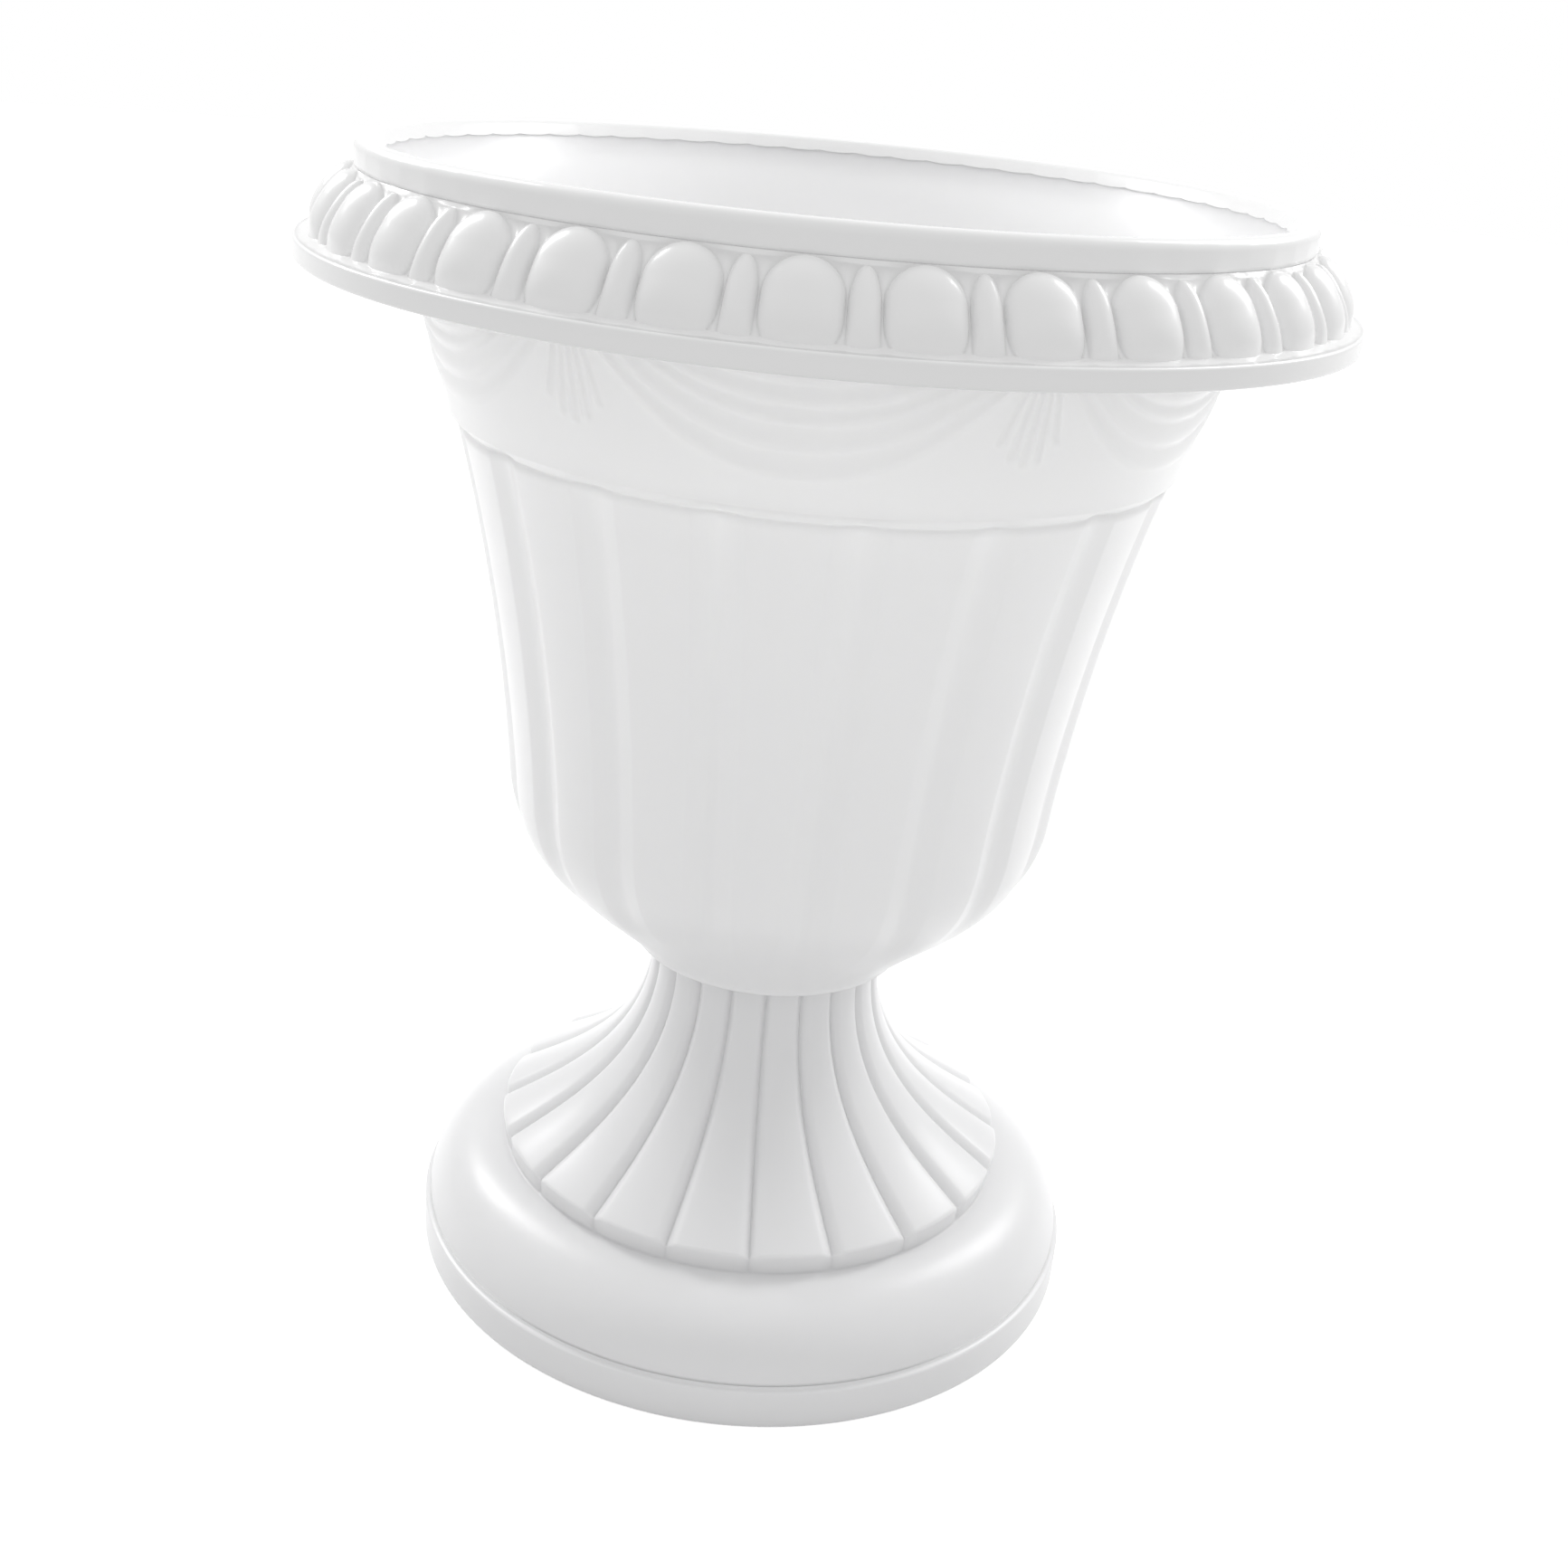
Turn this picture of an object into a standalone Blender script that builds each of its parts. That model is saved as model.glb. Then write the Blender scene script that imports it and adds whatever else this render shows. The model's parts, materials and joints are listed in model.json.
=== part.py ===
"""Balcony urn planter: a moulded bowl bolted to a hollow fluted pedestal.

Metres, +Z up. The origin is the centre of the pedestal's footprint, and the
plinth's flat edge rests on z = 0. Angles run round the axis from -Y, which is
the front, towards +X.
"""

import math

import bmesh
import bpy
from mathutils import Matrix, Vector

# Fits shared by all pieces
SEAT_GAP = 0.0003           # between faces that rest on each other
SHANK_CLEARANCE = 0.0003    # round a shank in its hole

# Pedestal: plinth band, half-round torus and fluted stem
PLINTH_RADIUS = 0.0946
PLINTH_HEIGHT = 0.0122
PLINTH_EDGE_ROUND = 0.0020
PLINTH_LEDGE = 0.0014       # the plinth stands out this far past the torus
TORUS_REACH = 0.0215        # from the panels' feet out to the torus' widest line
TORUS_HEIGHT = 0.0198
PANEL_STEP = 0.0057         # the panels end this far above the torus
PANEL_OVERHANG = 0.0008
STEM_RISE = 0.0583          # from the panels' ends to the neck's top
NECK_RADIUS = 0.0316
NECK_RUN = 0.0349           # how far the neck runs down before it flares
NECK_WAIST = 0.0017
FLARE_RUN = 0.0150          # how far the flare runs out along the panels' feet
FLARE_RISE = 0.0097
PEDESTAL_WALL = 0.0028
STEM_PANELS = 20
STEM_GROOVE_DEPTH = 0.0016
STEM_PANEL_CROWN = 0.0006
PEDESTAL_TURN = math.radians(2.6)       # a groove lies at this angle

# Joint between the pieces: a low spigot in a recess under the bowl
SHOULDER_WIDTH = 0.0045     # flat ring of the neck outside the spigot
SPIGOT_HEIGHT = 0.0022
SPIGOT_CLEARANCE = 0.0004
PLATE_THICKNESS = 0.0030    # top plate of the pedestal

# Bowl body
BOWL_HEIGHT = 0.2087        # from the underside to the top of the lip
BOWL_WALL = 0.0026
FLOOR_THICKNESS = 0.0030
FOOT_OVERHANG = 0.0069      # the bowl's underside reaches this far past the neck
FOOT_ROUND = 0.0015
FOOT_RUN = 0.0192           # how far the underside sweeps out and up at 45 degrees
BELLY_RADIUS = 0.0744
BELLY_HEIGHT = 0.0537       # above the underside, where the side straightens
BELLY_RUN = 0.0290          # how far the side runs down before it turns under
BELLY_LEAN = 0.0017
SIDE_TOP_RADIUS = 0.0902
SIDE_STRAIGHTNESS = 0.52    # 1 is a straight side, 0 a parabola
BODY_PANELS = 18
VALLEY_DEPTH = 0.0014
BODY_PANEL_CROWN = 0.0006
VALLEY_FADE = 0.0300        # the valleys fade out over this height of the belly
BOWL_TURN = math.radians(-2.2)          # a panel and an egg are centred on this angle

# Frieze between the panels and the rim
LEDGE_OVERHANG = 0.0026
LEDGE_DROP = 0.0028
FRIEZE_HEIGHT = 0.0352      # from the ledge to the rim's lower edge
FRIEZE_TOP_RADIUS = 0.1020

# Rim: rounded lip, egg-and-dart band and a plain flange, hollow underneath
RIM_RADIUS = 0.1297
RIM_DROP = 0.0275           # from the top of the lip to the rim's lower edge
RIM_WALL = 0.0024
LIP_RADIUS = 0.1157
LIP_THICKNESS = 0.0050
LIP_HEIGHT = 0.0066
LIP_START = 150             # degrees round the lip, where the flared wall runs into it
LIP_COVE = 0.0008           # the band starts this far inside the lip's face
MOUTH_FLARE = 0.0036        # how far the wall flares out behind the rim, up to the lip
MOUTH_DROP = 0.0185         # the flare starts this far below the top of the lip
FLANGE_HEIGHT = 0.0050
FLANGE_WIDTH = 0.0049       # from the grooves' feet to the rim's edge
FLANGE_SLOPE = 0.0011
BAND_BULGE = 0.0004         # the band bows out this far between its two edges
EGG_COUNT = 32
EGG_CROWN = 0.0036
EGG_TAPER = 0.12            # share of the crown lost from the round top to the foot
EGG_WIDTH = 0.74            # share of one egg-and-dart pitch
EGG_DOME = 0.50             # share of the band's height taken by the round top
DART_CROWN = 0.0026
DART_START = 0.11           # share of the band's height above the darts' points
DART_POINT = 0.21           # share of the band's height over which a dart rises

# Bolt through both pieces, with its washers and wing nut
BOLT_RADIUS = 0.0040
BOLT_LENGTH = 0.0250        # under the head
BOLT_TIP = 0.0008
PLATE_HOLE_MARGIN = 0.0012  # room round the bolt in the pedestal's plate, to line the pieces up
BOLT_HEAD_FLATS = 0.0130
BOLT_HEAD_HEIGHT = 0.0053
WASHER_RADIUS = 0.0080
WASHER_THICKNESS = 0.0016
SEAL_RADIUS = 0.0095
SEAL_THICKNESS = 0.0020
NUT_BASE_RADIUS = 0.0072
NUT_TIP_RADIUS = 0.0056
NUT_HEIGHT = 0.0085
WING_REACH = 0.0125         # from the axis to the centre of a wing's round end
WING_DROP = 0.0070
WING_ROUND = 0.0038
WING_THICKNESS = 0.0028

# Drain plugs pushed into the bowl's floor
PLUG_COUNT = 3
PLUG_RADIUS = 0.0034
PLUG_TIP = 0.0008
PLUG_HEAD_RADIUS = 0.0052
PLUG_HEAD_THICKNESS = 0.0018
PLUG_REACH = 0.0016         # how far the shank shows below the floor
PLUG_TAB_RISE = 0.0036
PLUG_TAB_ROUND = 0.0034
PLUG_TAB_THICKNESS = 0.0022
DRAIN_MARGIN = 0.0014       # the plate's drain holes are this much wider than the plugs

ZINC = (0.62, 0.62, 0.61)

# Facets
LIP_COLUMNS = 80
LIP_STEPS = 5
MOUTH_STEPS = 3
WALL_COLUMNS = 48
TORUS_COLUMNS = 72
TORUS_STEPS = 5
INNER_TORUS_STEPS = 4
STEM_STEPS = 8
INNER_STEM_STEPS = 6
SIDE_STEPS = 4
INNER_SIDE_STEPS = 2
BELLY_STEPS = 7
INNER_BELLY_STEPS = 6
WING_STEPS = 8
HUB_COLUMNS = 20
SHARP_ANGLE = math.radians(35)
EGG_MARKS = (0.0, 0.13, 0.36, 0.64, 0.87)
EGG_ROWS = (0.0, 0.07, 0.24, 0.55, 1.0)
PANEL_MARKS = (0.0, 0.11, 0.36, 0.64, 0.89)
GROOVE_MARKS = (0.0, 0.09, 0.36, 0.64, 0.91)

# Heights that follow from the sizes above
torus_top = PLINTH_HEIGHT + TORUS_HEIGHT
panel_end = torus_top + PANEL_STEP
neck_top = panel_end + STEM_RISE
plate_top = neck_top + SPIGOT_HEIGHT
plate_under = plate_top - PLATE_THICKNESS
bowl_under = neck_top + SEAT_GAP
recess_top = plate_top + SEAT_GAP
floor_top = recess_top + FLOOR_THICKNESS
lip_top = bowl_under + BOWL_HEIGHT
rim_edge = lip_top - RIM_DROP
wall_top = lip_top - LIP_THICKNESS
mouth_height = lip_top - MOUTH_DROP
ledge_height = rim_edge - FRIEZE_HEIGHT
belly_height = bowl_under + BELLY_HEIGHT

# Radii that follow from the sizes above
torus_radius = PLINTH_RADIUS - PLINTH_LEDGE
stem_foot_radius = torus_radius - TORUS_REACH
spigot_radius = NECK_RADIUS - SHOULDER_WIDTH
bowl_foot_radius = NECK_RADIUS + FOOT_OVERHANG
frieze_foot_radius = SIDE_TOP_RADIUS + LEDGE_OVERHANG
bolt_hole_radius = BOLT_RADIUS + SHANK_CLEARANCE
plate_hole_radius = BOLT_RADIUS + PLATE_HOLE_MARGIN
plug_hole_radius = PLUG_RADIUS + SHANK_CLEARANCE
plug_circle_radius = (SEAL_RADIUS + spigot_radius) / 2
drain_hole_radius = PLUG_RADIUS + DRAIN_MARGIN

# First columns of the bowl's patterns, half a repeat before the centred panel and egg
body_phase = BOWL_TURN - math.pi / BODY_PANELS
egg_phase = BOWL_TURN - math.pi / EGG_COUNT


def clear_scene():
    """Start from an empty scene."""
    for thing in list(bpy.data.objects):
        bpy.data.objects.remove(thing, do_unlink=True)


def finish(name, colour, roughness, metallic=0.0):
    """A Principled material with the piece's own colour."""
    material = bpy.data.materials.new(name)
    material.use_nodes = True
    shader = material.node_tree.nodes["Principled BSDF"]
    shader.inputs["Base Color"].default_value = (*colour, 1.0)
    shader.inputs["Roughness"].default_value = roughness
    shader.inputs["Metallic"].default_value = metallic
    return material


def even_angles(count, phase=0.0):
    """Angles of a plain ring."""
    return [phase + math.tau * k / count for k in range(count)]


def marked_angles(repeats, marks, phase):
    """Angles of a ring whose pattern repeats, with columns at the marks of each repeat."""
    pitch = math.tau / repeats
    return [phase + pitch * (k + mark) for k in range(repeats) for mark in marks]


def ring(angles, outline_point, lifts=None, facing=(1.0, 0.0)):
    """A ring at (radius, height), each of its points lifted by its own amount along facing."""
    points = []
    for k, angle in enumerate(angles):
        lift = lifts[k] if lifts else 0.0
        radius = outline_point[0] + lift * facing[0]
        height = outline_point[1] + lift * facing[1]
        points.append(Vector((radius * math.sin(angle), -radius * math.cos(angle), height)))
    return angles, points


def plain_rings(count, outline):
    """One plain ring for each point of an outline."""
    angles = even_angles(count)
    return [ring(angles, point) for point in outline]


def join_rings(mesh, first, second):
    """Triangles between two rings of any counts, stepping along whichever ring lags."""
    angles_a, verts_a = first
    angles_b, verts_b = second
    count_a = len(verts_a)
    count_b = len(verts_b)
    leads = [(angle - angles_a[0] + math.pi) % math.tau - math.pi for angle in angles_b]
    lead = min(leads, key=abs)
    start = leads.index(lead)

    def turned_a(k):
        return angles_a[k % count_a] - angles_a[0] + math.tau * (k // count_a)

    def turned_b(k):
        place = start + k
        angle = angles_b[place % count_b] + math.tau * (place // count_b)
        return angle - angles_b[start] + lead

    if angles_a == angles_b:
        join_alike(mesh, verts_a, verts_b)
        return
    i = 0
    j = 0
    while i < count_a or j < count_b:
        corner_a = verts_a[i % count_a]
        corner_b = verts_b[(start + j) % count_b]
        if j == count_b or (i < count_a and turned_a(i + 1) <= turned_b(j + 1)):
            mesh.faces.new((corner_a, verts_a[(i + 1) % count_a], corner_b))
            i += 1
        else:
            mesh.faces.new((corner_a, verts_b[(start + j + 1) % count_b], corner_b))
            j += 1


def join_alike(mesh, verts_a, verts_b):
    """Two triangles for each column of rings that share their angles, split the shorter way."""
    for k in range(len(verts_a)):
        near_a, far_a = verts_a[k - 1], verts_a[k]
        near_b, far_b = verts_b[k - 1], verts_b[k]
        if (near_a.co - far_b.co).length < (far_a.co - near_b.co).length:
            mesh.faces.new((near_a, far_a, far_b))
            mesh.faces.new((near_a, far_b, near_b))
        else:
            mesh.faces.new((near_a, far_a, near_b))
            mesh.faces.new((far_a, far_b, near_b))


def solid(name, rings, material, looped):
    """A closed solid through the rings: looped round a central hole, or capped at both ends."""
    mesh = bmesh.new()
    placed = [(angles, [mesh.verts.new(point) for point in points]) for angles, points in rings]
    for first, second in zip(placed, placed[1:]):
        join_rings(mesh, first, second)
    if looped:
        join_rings(mesh, placed[-1], placed[0])
    else:
        mesh.faces.new(placed[0][1])
        mesh.faces.new(placed[-1][1])
    return mesh_object(name, mesh, material)


def mesh_object(name, mesh, material):
    """Put a finished bmesh into the scene, its faces outward and its round sides smooth."""
    bmesh.ops.recalc_face_normals(mesh, faces=mesh.faces[:])
    data = bpy.data.meshes.new(name)
    mesh.to_mesh(data)
    mesh.free()
    data.shade_smooth()
    data.set_sharp_from_angle(angle=SHARP_ANGLE)
    data.materials.append(material)
    made = bpy.data.objects.new(name, data)
    bpy.context.collection.objects.link(made)
    return made


def helper(made):
    """Mark an object as a tool of a Boolean, not a piece of the planter."""
    made.hide_render = True
    made.display_type = "WIRE"
    return made


def combine(made, tool, operation):
    """Cut or unite a piece with a helper object."""
    change = made.modifiers.new(operation.lower(), "BOOLEAN")
    change.operation = operation
    change.solver = "EXACT"
    change.object = tool


def bezier(start, start_handle, end_handle, end, steps):
    """Points on a cubic curve, both ends included."""
    points = []
    for k in range(steps + 1):
        t = k / steps
        weights = ((1 - t) ** 3, 3 * t * (1 - t) ** 2, 3 * t ** 2 * (1 - t), t ** 3)
        corners = (start, start_handle, end_handle, end)
        radius = sum(w * corner[0] for w, corner in zip(weights, corners))
        height = sum(w * corner[1] for w, corner in zip(weights, corners))
        points.append((radius, height))
    return points


def arc(centre, reach, rise, first, last, steps):
    """Points on an ellipse about (radius, height), angles from straight out, in degrees."""
    points = []
    for k in range(steps + 1):
        angle = math.radians(first + (last - first) * k / steps)
        points.append((centre[0] + reach * math.cos(angle), centre[1] + rise * math.sin(angle)))
    return points


def inset(outline, wall):
    """A downward outline moved by the wall towards the inside, square to itself."""
    moved = []
    for k, (radius, height) in enumerate(outline):
        before = outline[max(k - 1, 0)]
        after = outline[min(k + 1, len(outline) - 1)]
        run = after[0] - before[0]
        fall = after[1] - before[1]
        length = math.hypot(run, fall)
        moved.append((radius + wall * fall / length, height - wall * run / length))
    return moved


def radius_at(outline, height):
    """Radius of a downward outline at a height."""
    for upper, lower in zip(outline, outline[1:]):
        if lower[1] <= height <= upper[1]:
            share = (upper[1] - height) / (upper[1] - lower[1])
            return upper[0] + share * (lower[0] - upper[0])
    return outline[-1][0]


def above(outline, height):
    """The part of a downward outline above a height, ended on it."""
    kept = [point for point in outline if point[1] > height]
    return kept + [(radius_at(outline, height), height)]


def below(outline, height):
    """The part of a downward outline below a height, started on it."""
    kept = [point for point in outline if point[1] < height]
    return [(radius_at(outline, height), height)] + kept


def panel_lift(mark, crown, groove, sharp_mark):
    """Height of a fluted panel over its outline: a groove at its edges and a crowned middle."""
    edge = min(mark, 1 - mark)
    if edge < sharp_mark:
        return -groove * (1 - edge / sharp_mark)
    return crown * (1 - (2 * mark - 1) ** 2)


def panel_rings(angles, marks, repeats, outline, crown, depths):
    """Fluted rings down an outline, each with its own groove depth."""
    rings = []
    for point, depth in zip(outline, depths):
        lifts = [panel_lift(mark, crown, depth, marks[1]) for mark in marks] * repeats
        rings.append(ring(angles, point, lifts))
    return rings


def egg_lift(mark, share):
    """Height of the egg-and-dart band at a mark of its pitch and a share of its drop.

    The egg is half an ellipse across, with a round top, and loses some of its crown
    towards its flat foot. The dart is a narrow ridge between two eggs that starts lower
    than they do. The band itself bows out evenly under both.
    """
    bow = BAND_BULGE * 4 * share * (1 - share)
    crown = EGG_CROWN * (1 - EGG_TAPER * max(share - EGG_DOME, 0.0) / (1 - EGG_DOME))
    dome = min(share / EGG_DOME, 1.0)
    width = EGG_WIDTH * math.sqrt(1 - (1 - dome) ** 2)
    across = abs(mark - 0.5) / max(width / 2, 1e-6)
    if across < 1:
        return bow + crown * math.sqrt(1 - across ** 2) * math.sqrt(1 - (1 - dome) ** 2)
    dart_half_width = (1 - EGG_WIDTH) / 2
    edge = min(mark, 1 - mark)
    rise = min(max((share - DART_START) / DART_POINT, 0.0), 1.0)
    return bow + DART_CROWN * rise * max(1 - edge / dart_half_width, 0.0)


def stem_outline(steps):
    """The stem from its neck down to the panels' ends."""
    foot = (stem_foot_radius + PANEL_OVERHANG, panel_end)
    neck = (NECK_RADIUS, neck_top)
    neck_handle = (NECK_RADIUS - NECK_WAIST, neck_top - NECK_RUN)
    foot_handle = (foot[0] - FLARE_RUN, panel_end + FLARE_RISE)
    return bezier(neck, neck_handle, foot_handle, foot, steps)


def torus_outline(thinner, steps):
    """The quarter round of the torus from its top down to the plinth, thinned by a wall."""
    centre = (stem_foot_radius, PLINTH_HEIGHT)
    return arc(centre, TORUS_REACH - thinner, TORUS_HEIGHT - thinner, 90, 0, steps)


def belly_outline(steps):
    """The bowl's round underside from where the side straightens down to the foot."""
    side = (BELLY_RADIUS, belly_height)
    side_handle = (BELLY_RADIUS - BELLY_LEAN, belly_height - BELLY_RUN)
    foot = (bowl_foot_radius, bowl_under + FOOT_ROUND)
    foot_handle = (foot[0] + FOOT_RUN, foot[1] + FOOT_RUN)
    return bezier(side, side_handle, foot_handle, foot, steps)


def side_outline(steps):
    """The bowl's side from the ledge down to the belly, a line that bends to a parabola."""
    top = ledge_height - LEDGE_DROP
    points = []
    for k in range(steps + 1):
        share = 1 - k / steps
        sweep = SIDE_STRAIGHTNESS * share + (1 - SIDE_STRAIGHTNESS) * share ** 2
        radius = BELLY_RADIUS + (SIDE_TOP_RADIUS - BELLY_RADIUS) * sweep
        points.append((radius, belly_height + (top - belly_height) * share))
    return points


def wall_radius(height):
    """Outer radius of the wall above the ledge: the frieze's straight cone, then the flared mouth."""
    slope = (FRIEZE_TOP_RADIUS - frieze_foot_radius) / FRIEZE_HEIGHT
    share = max(height - mouth_height, 0.0) / (wall_top - mouth_height)
    return frieze_foot_radius + slope * (height - ledge_height) + MOUTH_FLARE * share ** 2


def make_pedestal(material):
    """Hollow pedestal, open underneath: plinth, torus, fluted stem and drilled top plate."""
    groove_angles = marked_angles(STEM_PANELS, GROOVE_MARKS, PEDESTAL_TURN)
    stem = stem_outline(STEM_STEPS)
    depths = [STEM_GROOVE_DEPTH] * len(stem)
    inner_line = inset(stem_outline(INNER_STEM_STEPS), PEDESTAL_WALL + STEM_GROOVE_DEPTH / 2)
    inner_stem = below(inner_line, plate_under)
    inner_spigot = inner_stem[0][0] - SHOULDER_WIDTH
    plate_step = plate_under - SPIGOT_HEIGHT
    inner_stem = below(inner_stem, plate_step)
    inner_torus = torus_outline(PEDESTAL_WALL, INNER_TORUS_STEPS)

    rings = plain_rings(HUB_COLUMNS, [(plate_hole_radius, plate_under), (plate_hole_radius, plate_top)])
    rings += plain_rings(WALL_COLUMNS, [(spigot_radius, plate_top), (spigot_radius, neck_top)])
    rings += panel_rings(groove_angles, GROOVE_MARKS, STEM_PANELS, stem, STEM_PANEL_CROWN, depths)
    rings += plain_rings(TORUS_COLUMNS, torus_outline(0.0, TORUS_STEPS))
    plinth = [(PLINTH_RADIUS, PLINTH_HEIGHT - PLINTH_LEDGE), (PLINTH_RADIUS, PLINTH_EDGE_ROUND)]
    foot = [(PLINTH_RADIUS - PLINTH_EDGE_ROUND, 0.0)]
    foot += [(PLINTH_RADIUS - PLINTH_EDGE_ROUND - PEDESTAL_WALL, 0.0)]
    rings += plain_rings(TORUS_COLUMNS, plinth + foot)
    rings += plain_rings(WALL_COLUMNS, inner_torus[::-1] + inner_stem[::-1])
    rings += plain_rings(WALL_COLUMNS, [(inner_spigot, plate_step), (inner_spigot, plate_under)])
    pedestal = solid("pedestal", rings, material, looped=True)
    drain_holes = hole_cutter("drain_holes", drain_hole_radius, plate_step, recess_top)
    combine(pedestal, drain_holes, "DIFFERENCE")
    return pedestal


def plug_places():
    """Centres of the drain plugs round the bolt, the first one at the back."""
    places = []
    for k in range(PLUG_COUNT):
        angle = math.pi + math.tau * k / PLUG_COUNT
        places.append((plug_circle_radius * math.sin(angle), -plug_circle_radius * math.cos(angle)))
    return places


def hole_cutter(name, radius, low, high):
    """One cylinder at each plug's place, longer than the plate between low and high."""
    mesh = bmesh.new()
    depth = 3 * (high - low)
    for x, y in plug_places():
        place = Matrix.Translation((x, y, (low + high) / 2))
        bmesh.ops.create_cone(mesh, cap_ends=True, segments=HUB_COLUMNS, radius1=radius,
                              radius2=radius, depth=depth, matrix=place)
    return helper(mesh_object(name, mesh, finish(name, (0.5, 0.5, 0.5), 0.5)))


def lip_outline():
    """The rounded lip from the flared wall over the top and down its outer face."""
    round_radius = LIP_THICKNESS / 2
    centre = (LIP_RADIUS - round_radius, lip_top - round_radius)
    outer_foot = (LIP_RADIUS, lip_top - LIP_HEIGHT)
    cove = (LIP_RADIUS - LIP_COVE, lip_top - LIP_HEIGHT - LIP_COVE / 2)
    return arc(centre, round_radius, round_radius, LIP_START, 0, LIP_STEPS) + [outer_foot, cove]


def make_bowl(material):
    """Bowl moulded in one: floor, panelled side, frieze and a hollow egg-and-dart rim."""
    flange_top = rim_edge + FLANGE_HEIGHT
    band_top = lip_outline()[-1]
    band_foot = (RIM_RADIUS - FLANGE_WIDTH, flange_top + FLANGE_SLOPE)
    run = band_foot[0] - band_top[0]
    fall = band_top[1] - band_foot[1]
    slant = math.hypot(run, fall)
    outward = (fall / slant, run / slant)

    body = side_outline(SIDE_STEPS) + belly_outline(BELLY_STEPS)[1:]
    mouth = [wall_top + (mouth_height - wall_top) * k / MOUTH_STEPS for k in range(MOUTH_STEPS + 1)]
    wall_side = [(wall_radius(h), h) for h in mouth + [rim_edge, ledge_height]]
    wall_line = wall_side + side_outline(INNER_SIDE_STEPS) + belly_outline(INNER_BELLY_STEPS)[1:]
    inner_wall = above(inset(wall_line, BOWL_WALL), floor_top)

    rings = plain_rings(HUB_COLUMNS, [(bolt_hole_radius, recess_top), (bolt_hole_radius, floor_top)])
    rings += plain_rings(WALL_COLUMNS, inner_wall[::-1])
    rings += plain_rings(LIP_COLUMNS, lip_outline())
    egg_angles = marked_angles(EGG_COUNT, EGG_MARKS, egg_phase)
    for share in EGG_ROWS:
        point = (band_top[0] + run * share, band_top[1] - fall * share)
        lifts = [egg_lift(mark, share) for mark in EGG_MARKS] * EGG_COUNT
        rings.append(ring(egg_angles, point, lifts, outward))
    egg_reach = egg_lift(0.5, 1.0) * outward[0]
    rings.append(ring(egg_angles, (band_foot[0] + egg_reach, band_foot[1] - FLANGE_SLOPE / 2)))
    flange = [(RIM_RADIUS, flange_top), (RIM_RADIUS, rim_edge)]
    skirt = [(RIM_RADIUS - RIM_WALL, rim_edge), (RIM_RADIUS - RIM_WALL, flange_top - RIM_WALL)]
    skirt += [(band_foot[0] - RIM_WALL * outward[0], band_foot[1] - RIM_WALL)]
    hollow_top = lip_top - LIP_HEIGHT - RIM_WALL
    skirt += [(wall_radius(hollow_top) + LIP_COVE, hollow_top)]
    rings += plain_rings(LIP_COLUMNS, flange + skirt)

    angles = marked_angles(BODY_PANELS, PANEL_MARKS, body_phase)
    under_rim = [hollow_top - LIP_COVE] + [h for h in mouth if h < hollow_top - LIP_COVE]
    rings += [ring(angles, (wall_radius(h), h)) for h in under_rim + [rim_edge, ledge_height]]
    fade_low = belly_height - BELLY_RUN - VALLEY_FADE / 2
    shares = [min(max((height - fade_low) / VALLEY_FADE, 0.0), 1.0) for _, height in body]
    depths = [VALLEY_DEPTH * share for share in shares]
    rings += panel_rings(angles, PANEL_MARKS, BODY_PANELS, body, BODY_PANEL_CROWN, depths)
    under = [(bowl_foot_radius - FOOT_ROUND, bowl_under)]
    recess_radius = spigot_radius + SPIGOT_CLEARANCE
    under += [(recess_radius, bowl_under), (recess_radius, recess_top)]
    rings += plain_rings(WALL_COLUMNS, under)
    bowl = solid("bowl", rings, material, looped=True)
    plug_holes = hole_cutter("plug_holes", plug_hole_radius, recess_top, floor_top)
    combine(bowl, plug_holes, "DIFFERENCE")
    return bowl


def make_washer(name, radius, low, thickness, material):
    """A flat ring round the bolt."""
    edges = [(bolt_hole_radius, low), (radius, low)]
    edges += [(radius, low + thickness), (bolt_hole_radius, low + thickness)]
    return solid(name, plain_rings(HUB_COLUMNS, edges), material, looped=True)


def make_bolt(head_under, material):
    """Hexagon bolt, head up, pointing down through the floor and the plate."""
    tip = head_under - BOLT_LENGTH
    shank = [(BOLT_RADIUS - BOLT_TIP, tip), (BOLT_RADIUS, tip + BOLT_TIP), (BOLT_RADIUS, head_under)]
    corner = BOLT_HEAD_FLATS / 2 / math.cos(math.pi / 6)
    head = [(corner, head_under), (corner, head_under + BOLT_HEAD_HEIGHT - BOLT_TIP)]
    head += [(corner - BOLT_TIP, head_under + BOLT_HEAD_HEIGHT)]
    rings = plain_rings(HUB_COLUMNS, shank) + plain_rings(6, head)
    return solid("centre_bolt", rings, material, looped=False)


def round_plate(name, start, end, radius, thickness, material):
    """An upright plate across Y whose outline is a slot shape from start to end in X and Z."""
    along = math.atan2(end[1] - start[1], end[0] - start[0])
    outline = []
    for centre, turn in ((end, along - math.pi / 2), (start, along + math.pi / 2)):
        for k in range(WING_STEPS + 1):
            angle = turn + math.pi * k / WING_STEPS
            across = centre[0] + radius * math.cos(angle)
            outline.append((across, centre[1] + radius * math.sin(angle)))
    mesh = bmesh.new()
    face = mesh.faces.new([mesh.verts.new((x, -thickness / 2, z)) for x, z in outline])
    grown = bmesh.ops.extrude_face_region(mesh, geom=[face])
    moved = [v for v in grown["geom"] if isinstance(v, bmesh.types.BMVert)]
    bmesh.ops.translate(mesh, verts=moved, vec=(0.0, thickness, 0.0))
    return mesh_object(name, mesh, material)


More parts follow.
